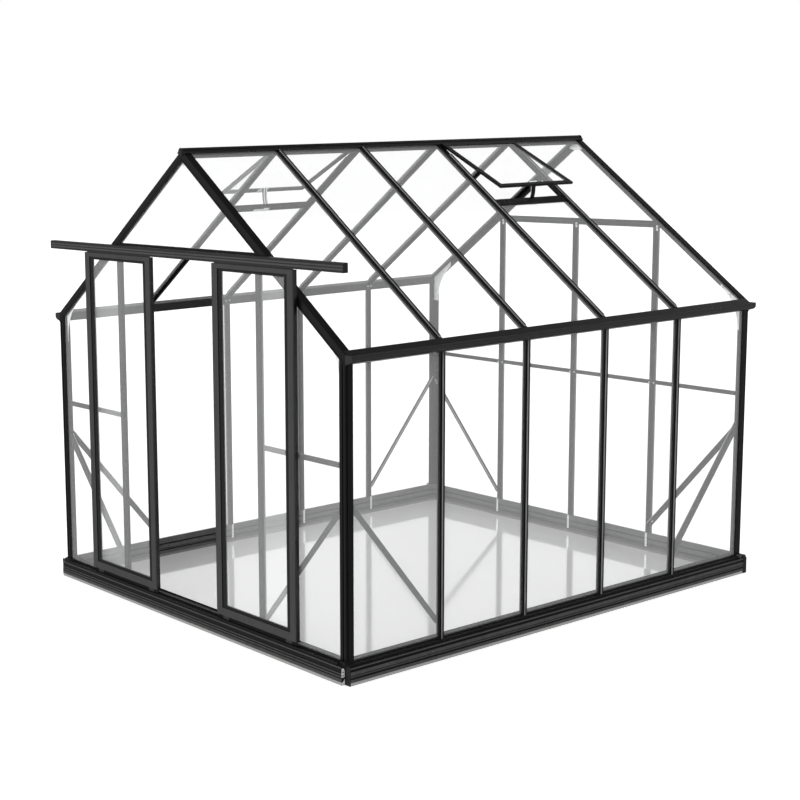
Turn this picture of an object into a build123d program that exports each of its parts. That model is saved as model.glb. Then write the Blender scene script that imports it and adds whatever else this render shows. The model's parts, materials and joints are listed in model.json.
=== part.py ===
from build123d import *
import math
import os

# Free-standing aluminium greenhouse, 5 bays long and 4 bays wide, with two
# sliding doors in the front gable and one opened roof vent on each slope.
# Millimetres. X across the gables, Y from the door gable to the rear gable,
# Z up from the ground. The origin is the centre of the bounding box on the ground.

# ---------------------------------------------------------------- overall
LENGTH = 3150.0            # between the outer faces of the gables
WIDTH = 2540.0             # between the outer faces of the side walls
EAVE_UNDER = 1573.0        # underside of the eave profile at the wall
EAVE_RISE = 50.725         # outer roof face above it, at the wall
ROOF_SLOPE = 0.7577        # rise over run of the roof
SIDE_BAYS = 5
GABLE_BAYS = 4
SIDE_EDGE = 31.25          # outer face of a gable to the line where its first bay starts
GABLE_EDGE = 30.0          # outer face of a side wall to the line where its first bay starts

# ---------------------------------------------------------------- base rails
BASE_HEIGHT = 92.0         # top of the fluted skin
BASE_IN = 36.0             # inner face, inward of the wall face
BASE_OUT_SIDE = 38.0       # skin beyond the wall face, long sides
BASE_OUT_GABLE = 10.0      # the same at the rear gable
FRONT_SILL_OUT = 33.0      # the same at the front, where it carries the door track
SHELF_OUT_SIDE = 19.0      # edge of the shelf beyond the wall face, long sides
SHELF_OUT_GABLE = 5.0
SHELF_RISE = 10.0          # shelf above the skin
SEAT_RISE = 19.0           # seat of the walls above the skin
LIP_RISE = 25.0            # inner lip above the skin
LIP_T = 3.0
FLUTE_INSIDE = 3.0         # depth of the flutes on the inner face
FOOT_HEIGHT = 16.0         # bare strip under the skin
FOOT_SETBACK = 1.5
CAP_THICKNESS = 4.0        # plastic end caps
CAP_RISE = 5.0             # end caps above the skin
REAR_NOTCH = 12.0          # side base rail let into the rear one
# bands of the skin from the top down: share of its height, setback at top and bottom
SIDE_SKIN = ((0.10, 3.0, 0.0), (0.19, 4.0, 4.0), (0.32, 0.0, 0.0), (0.06, 3.0, 0.0), (0.13, 4.0, 4.0))
SILL_SKIN = ((0.10, 3.0, 0.0), (0.31, 4.0, 4.0), (0.08, 0.0, 0.0), (0.10, 4.0, 4.0), (0.10, 0.0, 0.0),
             (0.08, 4.0, 4.0))
# flutes of the inner face: shares of the seat's height, lower and upper edge
INNER_FLUTES = ((0.32, 0.40), (0.67, 0.76))

# ---------------------------------------------------------------- glazing bars
# distances inward from the outer face
CAP_T = 9.0                # outer cap
GLASS_IN = 10.0            # outer face of the glass
GLASS_T = 4.0
FLANGE_IN = 15.0           # inner flange
FLANGE_T = 4.0
WEB_IN = 33.0              # inner edge of the web
CAP_W = 38.0
CAP_CHAMFER = 2.0
NECK_W = 8.0
FLANGE_W = 38.0
WEB_W = 6.0
RIB_W = 13.5               # rib along the outside of the wall and roof bars
RIB_OUT = 12.5
RIB_CHAMFER = 1.5
RIB_FOOT = 1.5             # foot of a wall bar's rib above the skin of the base
GLASS_PLAY = 0.4           # glass edge to the neck beside it

# ---------------------------------------------------------------- corners, ties, rails
POST_GABLE_W = 46.0        # corner post, arm on the gable
POST_SIDE_W = 50.0         # corner post, arm on the side wall
POST_CORE = 30.0
POST_EDGE_W = 15.0         # plain edge beside the corner
POST_FLUTE_W = 9.0
POST_FLUTE = 4.0           # depth of the flutes
POST_RIB_W = 12.0
POST_STRIP = 2.0           # setback of the strip beside the glass
POST_FLANGE = 12.0         # inner flanges of a post past the edges of its arms
RAFTER_FLANGE = 2.0        # the same on a rafter
RAFTER_W = 46.0            # gable rafter, arm on the gable
RAFTER_TOP = 45.0          # gable rafter, arm on the roof
RAFTER_FLUTE_W = 4.0
TIE_DROP = 85.2            # underside of the tie beams below the roof face over the door posts
TIE_H = 41.0
MID_RAIL_Z = 1077.0        # middle of the gable mid rails
MID_RAIL_H = 26.0
MID_RAIL_LEG = 15.0
ANGLE_T = 3.0              # thickness of the mid rails and braces

GUTTER_OUT = 46.0          # gutter lip beyond the wall face
GUTTER_LIP_H = 24.0        # upright face of the lip
GUTTER_RISE = 24.0         # lower edge of that face above the eave's underside
GUTTER_TUCK = 10.0         # the lip's underside slants in by this much
GUTTER_WALL = 4.0
GUTTER_FLUTE = 1.5
SHOULDER_OUT = 10.0        # end of the roof face beyond the wall face
EAVE_DEPTH = 22.0          # eave profile inward from the wall face
GLASS_STOP = 6.0           # end of the roof glass inward from the wall face
SEAL_W = 15.0              # seal over the lower end of the roof glass
END_PLATE = 3.0            # gutter stop ends

RIDGE_CAP_W = 35.0         # ridge cap, half width down the slope
RIDGE_CAP_T = 8.8
RIDGE_FLUTE_AT = 12.0      # flute of the cap, down the slope
RIDGE_FLUTE_W = 5.0
RIDGE_FLUTE = 3.0
RIDGE_WEB = 10.0
RIDGE_DROP = 46.0          # ridge flange below the ridge line
RIDGE_FLANGE = 44.0
RIDGE_FLANGE_T = 5.0
RIDGE_PROUD = 3.0          # cap beyond the gable faces
BOSS_R = 21.0              # round end boss of the ridge
BOSS_DROP = 9.0            # its centre below the ridge line
BOSS_T = 2.5

BRACE_W = 30.0
BRACE_LEG = 22.0           # inward from the flanges
SIDE_BRACE_TOP = 899.0     # height of a brace's upper end
SIDE_BRACE_FOOT = 189.0
GABLE_BRACE_TOP = 880.0
GABLE_BRACE_FOOT = 170.0
BRACE_EDGE = 36.0          # centre line's upper end inward from the corner
BRACE_BESIDE = 14.0        # centre line's lower end beside the next post
PLATE_T = 3.0              # gusset and apex plates
GUSSET_LEG = 120.0
APEX_HALF = 60.0
APEX_DROP = 83.0           # lowest point of the apex plate below the ridge line
CLEAT_W = 13.0             # slotted cleats behind the feet of the bars
CLEAT_H = 88.0
CLEAT_T = 2.0
CLEAT_SLOTS = 4
SLOT_W = 5.0
SLOT_H = 12.0
TOP_CLEAT_H = 38.0         # plain cleats at the tops of the rear posts

# ---------------------------------------------------------------- sliding doors
RAIL_DEPTH = 32.0
RAIL_H = 48.0
RAIL_DROP = 18.5           # underside of the door rail below that of the tie beam
RAIL_WALL = 3.0
RAIL_SLOT = 14.0
RAIL_RELIEF = 2.0          # the rail's two ridges stand this proud
# ridges of the rail's face: shares of its height, lower and upper edge
RAIL_RIDGES = ((0.25, 0.42), (0.56, 0.71))
LEAF_W = 656.0
LEAF_T = 22.0
LEAF_BACK_GAP = 5.0        # leaf to the gable face
LEAF_BOTTOM = 129.0
LEAF_TOP_GAP = 5.0         # leaf to the door rail
STILE_W = 49.0
STILE_RIM = 6.0            # set-back rim along the outer edge of a stile
RIM_SETBACK = 1.5
LEAF_TOP_H = 24.0
LEAF_BOTTOM_H = 42.0
BEAD_SIDE = 28.0           # glazing bead beside the glass
BEAD_END = 15.0            # glazing bead over and under the glass
BEAD_T = 3.0
LEAF_REBATE = 8.0          # glass edge behind the bead
LEAF_OPEN = 275.0          # inner edge of each leaf from the middle, as drawn
LEAF_TRAVEL = 350.0        # each leaf opens this much further
LEAF_END_GAP = 11.0        # opened leaf to the end of the rail
TRACK_RIB_H = 13.0
TRACK_RIB_T = 3.0
TRACK_BED = 4.0            # the track ribs are let this far into the sill
TRACK_GAP = 8.0            # middle of the leaf to a track rib
HANGER_T = 4.0
HANGER_INSET = 14.0        # ends of the hanger blade from the leaf's edges
HANGER_RISE = 6.0          # hanger plate above the roller axle
ROLLER_R = 11.0
ROLLER_T = 6.0
ROLLER_PLAY = 0.5          # roller over its lips
ROLLER_AT = 70.0           # rollers and guides from the leaf's edges
HANGER_HALF = 16.0
GUIDE_T = 5.0
GUIDE_HALF = 25.0
GUIDE_LIFT = 7.0           # bottom guide above the sill

# ---------------------------------------------------------------- roof vents
VENT_LENGTH = 529.0        # vent flap down the slope
VENT_OPEN = 9.6            # degrees that the flap stands off the roof
VENT_PLAY = 1.0            # flap to the middle lines of the bars beside it
VENT_FRAME_W = 26.0
VENT_FRAME_T = 14.0
VENT_LIFT = 1.0            # flap above the roof face when shut
VENT_GLASS_UP = 5.0        # glass above the underside of the flap
VENT_REBATE = 8.0
VENT_ROD_R = 3.5
VENT_SILL_S = 550.5        # upper edge of the sill bar, distance down the slope
VENT_SILL_W = 51.0
VENT_SILL_WEB = 24.0
STAY_ASIDE = 25.0          # stay beside the middle of the bay
STAY_W = 30.0
STAY_T = 4.0
STAY_BOW = 6.0
STAY_TOP_IN = 58.0         # top of the stay from the flap's lower edge
CATCH_ASIDE = 5.0          # catch plate on the sill bar's web, beside the middle of the bay
CATCH_W = 42.0
CATCH_UP = 16.0            # the plate past the middle of the bar, up and down the slope
CATCH_DOWN = 14.0
CATCH_TONGUE_W = 70.0      # narrower tongue beside the plate
CATCH_TONGUE_UP = 8.0
CATCH_TONGUE_DOWN = 6.0
CATCH_T = 2.0
STAY_ROD_R = 3.5
STAY_ROD_APART = 16.0

# ---------------------------------------------------------------- derived
HL, HW = LENGTH / 2, WIDTH / 2
SIDE_BAY = (LENGTH - 2 * SIDE_EDGE) / SIDE_BAYS           # centre to centre of the side bars
GABLE_BAY = (WIDTH - 2 * GABLE_EDGE) / GABLE_BAYS         # centre to centre of the gable posts
RIDGE_LINE = EAVE_UNDER + EAVE_RISE + ROOF_SLOPE * HW     # where the two outer roof faces meet
TIE_Z = RIDGE_LINE - ROOF_SLOPE * GABLE_BAY - TIE_DROP
RAIL_Z = TIE_Z - RAIL_DROP
TH = math.atan(ROOF_SLOPE)
CT, ST = math.cos(TH), math.sin(TH)
T0 = FLANGE_IN + FLANGE_T                      # inner face of the flanges
SHELF_Z = BASE_HEIGHT + SHELF_RISE
SEAT_Z = BASE_HEIGHT + SEAT_RISE
LIP_Z = BASE_HEIGHT + LIP_RISE
RAIL_FRONT = -(HL + RAIL_DEPTH)
Y_MIN = min(RAIL_FRONT, -(HL + FRONT_SILL_OUT))
Y_MAX = HL + BASE_OUT_GABLE
Y_SHIFT = -(Y_MIN + Y_MAX) / 2
BAR_Y = [(k + 1 - SIDE_BAYS / 2) * SIDE_BAY for k in range(SIDE_BAYS - 1)]
LEAF_BACK = -(HL + LEAF_BACK_GAP)
LEAF_FRONT = LEAF_BACK - LEAF_T
LEAF_MID = (LEAF_BACK + LEAF_FRONT) / 2
LEAF_TOP = RAIL_Z - LEAF_TOP_GAP
RAIL_HALF = LEAF_OPEN + LEAF_W + LEAF_TRAVEL + LEAF_END_GAP
STOP = HW - GLASS_STOP                         # the roof glass ends here
SLOPE_END = (HW + GUTTER_OUT) / CT             # a length down the slope past the gutter
PAST = 1.0                                     # cutting tools run this far past a face

os.makedirs("parts", exist_ok=True)


def put(name, *shapes):
    """Writes one node; its solids are moved to the centred frame."""
    solids = [Pos(0, Y_SHIFT, 0) * s for shape in shapes for s in shape.solids()]
    node = Compound(children=solids) if len(solids) > 1 else solids[0]
    export_step(node, f"parts/{name}.step")


def face_on(plane, points):
    return plane * make_face(Polyline(*points, close=True))


def along_y(points, y0, y1):
    """Section in X and Z, run from y0 to y1."""
    plane = Plane((0, y1, 0), x_dir=(1, 0, 0), z_dir=(0, -1, 0))
    return extrude(face_on(plane, points), amount=y1 - y0)


def along_x(points, x0, x1):
    """Section in Y and Z, run from x0 to x1."""
    plane = Plane((x0, 0, 0), x_dir=(0, 1, 0), z_dir=(1, 0, 0))
    return extrude(face_on(plane, points), amount=x1 - x0)


def along_z(points, z0, z1):
    """Section in X and Y, run from z0 to z1."""
    return extrude(face_on(Plane((0, 0, z0)), points), amount=z1 - z0)


def on_gable(outline, t0, t1):
    """Outline in X and Z on the front gable, from t0 to t1 inward of its face."""
    plane = Plane((0, -HL + t1, 0), x_dir=(1, 0, 0), z_dir=(0, -1, 0))
    return extrude(plane * outline, amount=t1 - t0)


def block(x0, x1, y0, y1, z0, z1):
    middle = Pos((x0 + x1) / 2, (y0 + y1) / 2, (z0 + z1) / 2)
    return middle * Box(abs(x1 - x0), abs(y1 - y0), abs(z1 - z0))


def roof_z(x, h=0.0):
    """Height of the plane h above (or, negative, under) the outer roof face."""
    return RIDGE_LINE - ROOF_SLOPE * abs(x) + h / CT


def roof_point(s, h):
    """Point s down the right slope and h out of it, as X and Z."""
    return (s * CT + h * ST, RIDGE_LINE - s * ST + h * CT)


def down_roof(points, s0, s1):
    """Section across the right slope (Y, h), run down it from s0 to s1."""
    x, z = roof_point(s0, 0)
    plane = Plane((x, 0, z), x_dir=(0, 1, 0), z_dir=(CT, 0, -ST))
    return extrude(face_on(plane, points), amount=s1 - s0)


def slab(s0, s1, y0, y1, h0, h1):
    """Block lying on the right slope."""
    return down_roof([(y0, h0), (y1, h0), (y1, h1), (y0, h1)], s0, s1)


def right_of_ridge(x0=0.0, x1=HW + GUTTER_OUT):
    """Space over the right half of the house between x0 and x1."""
    return block(x0, x1, -LENGTH, LENGTH, 0, RIDGE_LINE + HW)


def biggest(shape):
    return shape.solids().sort_by(lambda s: s.volume)[-1]


def mirror_x(s):
    return mirror(s, about=Plane.YZ)


def mirror_y(s):
    return mirror(s, about=Plane.XZ)


def half_turn(s):
    return Rot(0, 0, 180) * s


# ---------------------------------------------------------------- sections
def bar_section(c, cap_w=CAP_W, flange_w=FLANGE_W, web_in=WEB_IN):
    """Glazing bar about the line c: (across, inward) points."""
    half = [(cap_w / 2 - CAP_CHAMFER, 0), (cap_w / 2, CAP_CHAMFER), (cap_w / 2, CAP_T), (NECK_W / 2, CAP_T),
            (NECK_W / 2, FLANGE_IN), (flange_w / 2, FLANGE_IN), (flange_w / 2, T0), (WEB_W / 2, T0),
            (WEB_W / 2, web_in)]
    return [(c + a, t) for a, t in half] + [(c - a, t) for a, t in reversed(half)]


def rib_section(c):
    """Rib on the outside of a wall or roof bar: (across, inward) points."""
    w = RIB_W / 2
    return [(c - w, 0), (c - w, RIB_CHAMFER - RIB_OUT), (c - w + RIB_CHAMFER, -RIB_OUT),
            (c + w - RIB_CHAMFER, -RIB_OUT), (c + w, RIB_CHAMFER - RIB_OUT), (c + w, 0)]


def corner_inside(g, s, flange):
    """Glass grooves and inner flanges of a corner section, from the gable arm g to the side arm s."""
    c = POST_CORE
    return [(g, CAP_T), (c, CAP_T), (c, FLANGE_IN), (g + flange, FLANGE_IN), (g + flange, T0), (T0, T0),
            (T0, s + flange), (FLANGE_IN, s + flange), (FLANGE_IN, c), (CAP_T, c), (CAP_T, s), (0, s)]


def post_section():
    """Corner post: (from the corner along the gable, inward from the gable)."""
    edge, flute = POST_EDGE_W, POST_EDGE_W + POST_FLUTE_W
    rib = flute + POST_RIB_W
    skin = [(0, edge), (POST_FLUTE, edge), (POST_FLUTE, 0), (edge, 0), (edge, POST_FLUTE), (flute, POST_FLUTE),
            (flute, 0), (rib, 0), (rib, POST_STRIP), (POST_GABLE_W, POST_STRIP)]
    return skin + corner_inside(POST_GABLE_W, POST_SIDE_W, POST_FLANGE)


def rafter_section():
    """Gable rafter: (down from the roof face, inward from the gable)."""
    flute = RAFTER_W - 3 * RAFTER_FLUTE_W
    skin = [(0, CAP_CHAMFER), (CAP_CHAMFER, 0), (flute, 0), (flute, CAP_CHAMFER),
            (flute + RAFTER_FLUTE_W, CAP_CHAMFER), (flute + RAFTER_FLUTE_W, 0), (RAFTER_W, 0)]
    return skin + corner_inside(RAFTER_W, RAFTER_TOP, RAFTER_FLANGE)


def base_skin(bands):
    """Fluted outer skin of a base rail, from the top down: (setback, height) points."""
    points = []
    z = BASE_HEIGHT
    for share, top, bottom in bands:
        low = z - share * (BASE_HEIGHT - FOOT_HEIGHT)
        points += [(top, z), (bottom, low)]
        z = low
    return points + [(0, z), (0, FOOT_HEIGHT), (FOOT_SETBACK, FOOT_HEIGHT), (FOOT_SETBACK, 0)]


def base_section(out, shelf, bands):
    """Base rail: (setback from its skin, height); out is its skin beyond the wall face."""
    depth = out + BASE_IN
    points = [(depth, 0)]
    for low, high in INNER_FLUTES:
        z0, z1 = low * SEAT_Z, high * SEAT_Z
        points += [(depth, z0), (depth - FLUTE_INSIDE, z0), (depth - FLUTE_INSIDE, z1), (depth, z1)]
    points += [(depth, LIP_Z), (depth - LIP_T, LIP_Z), (depth - LIP_T, SEAT_Z), (out, SEAT_Z),
               (out, SHELF_Z), (out - shelf, SHELF_Z), (out - shelf, BASE_HEIGHT)]
    return points + base_skin(bands)


# ---------------------------------------------------------------- base
side_out = HW + BASE_OUT_SIDE
gable_out = HL + BASE_OUT_GABLE
rear_face = HL - BASE_IN                                    # inner face of the rear rail
side_front = -gable_out + CAP_THICKNESS
side_rear = rear_face + REAR_NOTCH
rib_foot = BASE_HEIGHT + RIB_FOOT

side_section = base_section(BASE_OUT_SIDE, SHELF_OUT_SIDE, SIDE_SKIN)
base_right = along_y([(side_out - d, z) for d, z in side_section], side_front, side_rear)
for c in BAR_Y:
    # the shelf is notched for the foot of each wall bar's rib
    base_right -= block(HW, HW + RIB_OUT, c - RIB_W / 2, c + RIB_W / 2, rib_foot, SHELF_Z + PAST)
# its inner lip stops short of the gable walls, and theirs of the side walls
wall_in = HW - BASE_IN
base_right -= block(wall_in - PAST, HW, side_front - PAST, -rear_face, SEAT_Z, LIP_Z + PAST)
base_left = mirror_x(base_right)

rear_end = side_out - CAP_THICKNESS
back_section = base_section(BASE_OUT_GABLE, SHELF_OUT_GABLE, SIDE_SKIN)
base_back = along_x([(gable_out - d, z) for d, z in back_section], -rear_end, rear_end)
base_back = base_back - base_right - base_left
over_right = block(wall_in, side_out, -HL, HL, SEAT_Z, LIP_Z + PAST)
over_sides = (over_right, mirror_x(over_right))
for room in over_sides:
    base_back -= room

sill_out = HL + FRONT_SILL_OUT
sill_section = base_section(FRONT_SILL_OUT, SHELF_OUT_GABLE, SILL_SKIN)
base_front = along_x([(-sill_out + d, z) for d, z in sill_section], -HW, HW)
track_end = HW - BASE_IN
for y in (LEAF_MID - TRACK_GAP - TRACK_RIB_T, LEAF_MID + TRACK_GAP):
    base_front += block(-track_end, track_end, y, y + TRACK_RIB_T,
                        BASE_HEIGHT - TRACK_BED, BASE_HEIGHT + TRACK_RIB_H)

cap_z = BASE_HEIGHT + CAP_RISE
front_cap = along_y([(side_out, 0), (side_out, cap_z), (HW, cap_z), (HW, SEAT_Z), (wall_in, SEAT_Z),
                     (wall_in, 0)], -gable_out, side_front)
rear_cap = along_x([(gable_out, 0), (gable_out, cap_z), (HL, cap_z), (HL, SEAT_Z), (side_rear, SEAT_Z),
                    (side_rear, 0)], rear_end, side_out)
base_front = base_front - base_right - base_left - front_cap - mirror_x(front_cap)
for room in over_sides:
    base_front -= room

put("base_right", base_right)
put("base_left", base_left)
put("base_back", base_back)
put("base_front", base_front)
put("base_end_caps", front_cap, mirror_x(front_cap), rear_cap, mirror_x(rear_cap))

# ---------------------------------------------------------------- eaves
lip = HW + GUTTER_OUT
shoulder = HW + SHOULDER_OUT
lip_low = EAVE_UNDER + GUTTER_RISE
lip_top = lip_low + GUTTER_LIP_H
lip_under = EAVE_UNDER + GUTTER_RISE / 2
flute_low = lip_low + GUTTER_LIP_H * 0.45
flute_top = lip_low + GUTTER_LIP_H * 0.62
trough = EAVE_UNDER + GUTTER_RISE / 2
eave_in = HW - EAVE_DEPTH
seal = STOP - SEAL_W                                        # upper edge of the seal
eave_points = [
    (eave_in, EAVE_UNDER), (HW, EAVE_UNDER), (lip - GUTTER_TUCK, lip_under), (lip, lip_low),
    (lip, flute_low), (lip - GUTTER_FLUTE, flute_low), (lip - GUTTER_FLUTE, flute_top), (lip, flute_top),
    (lip, lip_top), (lip - GUTTER_WALL, lip_top), (lip - GUTTER_WALL, lip_low), (shoulder, trough),
    (shoulder, roof_z(shoulder)), (seal, roof_z(seal)), (seal, roof_z(seal, -CAP_T)),
    (STOP, roof_z(STOP, -CAP_T)), (STOP, roof_z(STOP, -FLANGE_IN)), (eave_in, roof_z(eave_in, -FLANGE_IN))]
stop_end = [(HW, EAVE_UNDER), (lip - GUTTER_TUCK, lip_under), (lip, lip_low), (lip, lip_top),
            (shoulder, lip_top), (HW, roof_z(shoulder))]
eave_right = along_y(eave_points, -HL, HL)
eave_right += along_y(stop_end, -HL, -HL + END_PLATE) + along_y(stop_end, HL - END_PLATE, HL)
for y0, y1 in ((-HL - PAST, -HL + CAP_T), (HL - CAP_T, HL + PAST)):
    # the gable caps of the corner posts run past the eave
    eave_right -= block(0, HW, y0, y1, EAVE_UNDER - PAST, RIDGE_LINE)
eave_left = mirror_x(eave_right)

# ---------------------------------------------------------------- ridge
flute_end = RIDGE_FLUTE_AT + RIDGE_FLUTE_W
cap_skin = [roof_point(RIDGE_FLUTE_AT, RIDGE_CAP_T), roof_point(RIDGE_FLUTE_AT, RIDGE_CAP_T - RIDGE_FLUTE),
            roof_point(flute_end, RIDGE_CAP_T - RIDGE_FLUTE), roof_point(flute_end, RIDGE_CAP_T),
            roof_point(RIDGE_CAP_W - CAP_CHAMFER, RIDGE_CAP_T),
            roof_point(RIDGE_CAP_W, RIDGE_CAP_T - CAP_CHAMFER), roof_point(RIDGE_CAP_W, 0)]
ridge_top = [(0, RIDGE_LINE + RIDGE_CAP_T / CT)] + cap_skin + [(0, RIDGE_LINE)]
ridge_top += [(-x, z) for x, z in reversed(cap_skin)]
ridge = along_y(ridge_top, -HL - RIDGE_PROUD, HL + RIDGE_PROUD)
wh, fh = RIDGE_WEB / 2, RIDGE_FLANGE / 2
fz = RIDGE_LINE - RIDGE_DROP
ft = fz + RIDGE_FLANGE_T
ridge += along_y([(-fh, fz), (fh, fz), (fh, ft), (wh, ft), (wh, roof_z(wh)), (0, RIDGE_LINE),
                  (-wh, roof_z(wh)), (-wh, ft), (-fh, ft)], -HL + CAP_T, HL - CAP_T)
for y in (-HL - RIDGE_PROUD, HL + RIDGE_PROUD):
    out = math.copysign(BOSS_T / 2, y)
    boss = Pos(0, y + out, RIDGE_LINE - BOSS_DROP) * Rot(90, 0, 0)
    ridge += boss * Cylinder(BOSS_R, BOSS_T)
    ridge += Pos(0, out, 0) * boss * Cylinder(BOSS_R * 0.62, BOSS_T * 1.6)

# ---------------------------------------------------------------- rafters and corner posts
rafter_points = [(-HL + b, -a) for a, b in rafter_section()]
rafter = down_roof(rafter_points, -SLOPE_END / 10, SLOPE_END) & right_of_ridge(0, HW)
rafter_fr = biggest(rafter - eave_right - ridge)
rafter_fl, rafter_br = mirror_x(rafter_fr), mirror_y(rafter_fr)

post_points = [(HW - a, -HL + b) for a, b in post_section()]
post = along_z(post_points, SEAT_Z, roof_z(HW)) - eave_right - rafter_fr
post_fr = post.solids().sort_by(Axis.Z)[0]
post_fl, post_br = mirror_x(post_fr), mirror_y(post_fr)

put("eave_right", eave_right)
put("eave_left", eave_left)
put("ridge_beam", ridge)
put("rafter_front_right", rafter_fr)
put("rafter_front_left", rafter_fl)
put("rafter_back_right", rafter_br)
put("rafter_back_left", mirror_x(rafter_br))
put("corner_post_front_right", post_fr)
put("corner_post_front_left", post_fl)
put("corner_post_back_right", post_br)
put("corner_post_back_left", mirror_x(post_br))

# ---------------------------------------------------------------- wall and roof bars
side_bars = []
for c in BAR_Y:
    bar = along_z([(HW - t, y) for y, t in bar_section(c)], SEAT_Z, EAVE_UNDER)
    rib = along_z([(HW - t, y) for y, t in rib_section(c)], rib_foot, lip_low) - eave_right
    side_bars.append(bar + rib.solids().sort_by(Axis.Z)[0])
put("side_bars_right", *side_bars)
put("side_bars_left", *[mirror_x(s) for s in side_bars])

hinge_s = RIDGE_CAP_W + VENT_ROD_R                          # hinge rod, down the slope
hinge_h = VENT_ROD_R                                        # and out of it
rise = math.tan(math.radians(VENT_OPEN))
rib_clear = hinge_s + (RIB_OUT + hinge_h) / rise            # here the flap is over the ribs
vent_mid = SIDE_BAY                                         # middle of the right vent's bay


def roof_bar(c):
    """Bar of the right slope; beside the vent its rib starts where the flap clears it."""
    beside_vent = abs(c - vent_mid) < SIDE_BAY
    top = rib_clear if beside_vent else RIDGE_CAP_W
    bar = down_roof([(y, -t) for y, t in bar_section(c)], 0, SLOPE_END) & right_of_ridge(0, HW)
    bar = biggest(bar - eave_right - ridge)
    rib = down_roof([(y, -t) for y, t in rib_section(c)], top, SLOPE_END) & right_of_ridge(0, seal)
    return bar + rib


roof_bars = [roof_bar(c) for c in BAR_Y]
put("roof_bars_right", *roof_bars)
put("roof_bars_left", *[half_turn(s) for s in roof_bars])

# ---------------------------------------------------------------- gable posts, ties and mid rails
tie_mid = TIE_Z + TIE_H / 2
tie_section = [(-HL + t, z) for z, t in bar_section(tie_mid, TIE_H, TIE_H)]
# the tie beam's ends follow the inner edges of the two rafters
edge = RAFTER_W
under = edge + RAFTER_FLANGE
over = down_roof([(-HL - PAST, edge), (-HL - PAST, -edge), (-HL + CAP_T, -edge), (-HL + CAP_T, -under),
                  (-HL + 2 * WEB_IN, -under), (-HL + 2 * WEB_IN, edge)], -SLOPE_END / 10, SLOPE_END)
tie_front = biggest(along_x(tie_section, -HW, HW) - over - mirror_x(over))
put("front_tie_beam", tie_front)
put("back_tie_beam", mirror_y(tie_front))

posts = {}
for c in (-GABLE_BAY, 0.0, GABLE_BAY):
    posts[c] = along_z([(x, -HL + t) for x, t in bar_section(c)], SEAT_Z, TIE_Z)
put("door_posts", posts[-GABLE_BAY], posts[GABLE_BAY])
put("back_gable_posts", *[mirror_y(p) for p in posts.values()])


def angle_outlines(p0, p1, width):
    """Angle between two points of a wall, seen square to it: outlines of its flat and of its upper leg."""
    dx, dz = p1[0] - p0[0], p1[1] - p0[1]
    n = math.hypot(dx, dz)
    up = 1 if dx > 0 else -1
    nx, nz = -up * dz / n, up * dx / n
    w = width / 2

    def strip(e0, e1):
        return [(p0[0] + nx * e0, p0[1] + nz * e0), (p1[0] + nx * e0, p1[1] + nz * e0),
                (p1[0] + nx * e1, p1[1] + nz * e1), (p0[0] + nx * e1, p0[1] + nz * e1)]

    return strip(w, -w), strip(w, w - ANGLE_T)


def gable_angle(p0, p1, width, leg):
    """Angle on the inner faces of the front gable's flanges, its leg standing inward."""
    flat, upright = [make_face(Polyline(*o, close=True)) for o in angle_outlines(p0, p1, width)]
    return on_gable(flat, T0, T0 + ANGLE_T) + on_gable(upright, T0 + ANGLE_T, T0 + leg)


mid_outer = gable_angle((GABLE_BAY + WEB_W / 2, MID_RAIL_Z), (HW - T0, MID_RAIL_Z), MID_RAIL_H, MID_RAIL_LEG)
mid_inner = gable_angle((WEB_W / 2, MID_RAIL_Z), (GABLE_BAY - WEB_W / 2, MID_RAIL_Z), MID_RAIL_H, MID_RAIL_LEG)
put("front_mid_rails", mid_outer, mirror_x(mid_outer))
put("back_mid_rails", *[mirror_y(s) for s in (mid_outer, mirror_x(mid_outer), mid_inner, mirror_x(mid_inner))])

# ---------------------------------------------------------------- glass
G0, G1 = GLASS_IN, GLASS_IN + GLASS_T
slot = POST_CORE + GLASS_PLAY
neck = NECK_W / 2 + GLASS_PLAY


def gable_pane(points):
    return on_gable(make_face(Polyline(*points, close=True)), G0, G1)


edges = [-HL + slot] + [y + s for y in BAR_Y for s in (-neck, neck)] + [HL - slot]
bays = [(edges[2 * k], edges[2 * k + 1]) for k in range(SIDE_BAYS)]
side_panes = [block(HW - G1, HW - G0, y0, y1, SEAT_Z, EAVE_UNDER) for y0, y1 in bays]
put("glass_right", *side_panes)
put("glass_left", *[mirror_x(p) for p in side_panes])

tie0, tie1 = tie_mid - neck, tie_mid + neck
x_in, x_out = GABLE_BAY + neck, HW - slot
glass_top = RIDGE_LINE - slot / CT
x_tie = (glass_top - tie0) / ROOF_SLOPE
x_peak = (glass_top - tie1) / ROOF_SLOPE
outer = gable_pane([(x_in, SEAT_Z), (x_out, SEAT_Z), (x_out, roof_z(x_out, -slot)), (x_tie, tie0),
                    (x_in, tie0)])
inner = gable_pane([(neck, SEAT_Z), (GABLE_BAY - neck, SEAT_Z), (GABLE_BAY - neck, tie0), (neck, tie0)])
peak = gable_pane([(-x_peak, tie1), (x_peak, tie1), (0, glass_top)])
outer = outer - eave_right
front_panes = [outer, mirror_x(outer), peak - ridge]
put("glass_front", *front_panes)
put("glass_back", *[mirror_y(p) for p in front_panes + [inner, mirror_x(inner)]])

sill_mid = VENT_SILL_S + VENT_SILL_W / 2
half_bay = SIDE_BAY / 2


def roof_pane(y0, y1):
    """Pane of the right slope; under the vent it starts at the sill bar."""
    under_vent = abs((y0 + y1) / 2 - vent_mid) < half_bay
    top = sill_mid + neck if under_vent else 0
    return slab(top, SLOPE_END, y0, y1, -G1, -G0) & right_of_ridge(wh + GLASS_PLAY, STOP - GLASS_PLAY)


roof_panes = [roof_pane(*b) for b in bays]
put("roof_glass_right", *roof_panes)
put("roof_glass_left", *[half_turn(p) for p in roof_panes])

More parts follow.
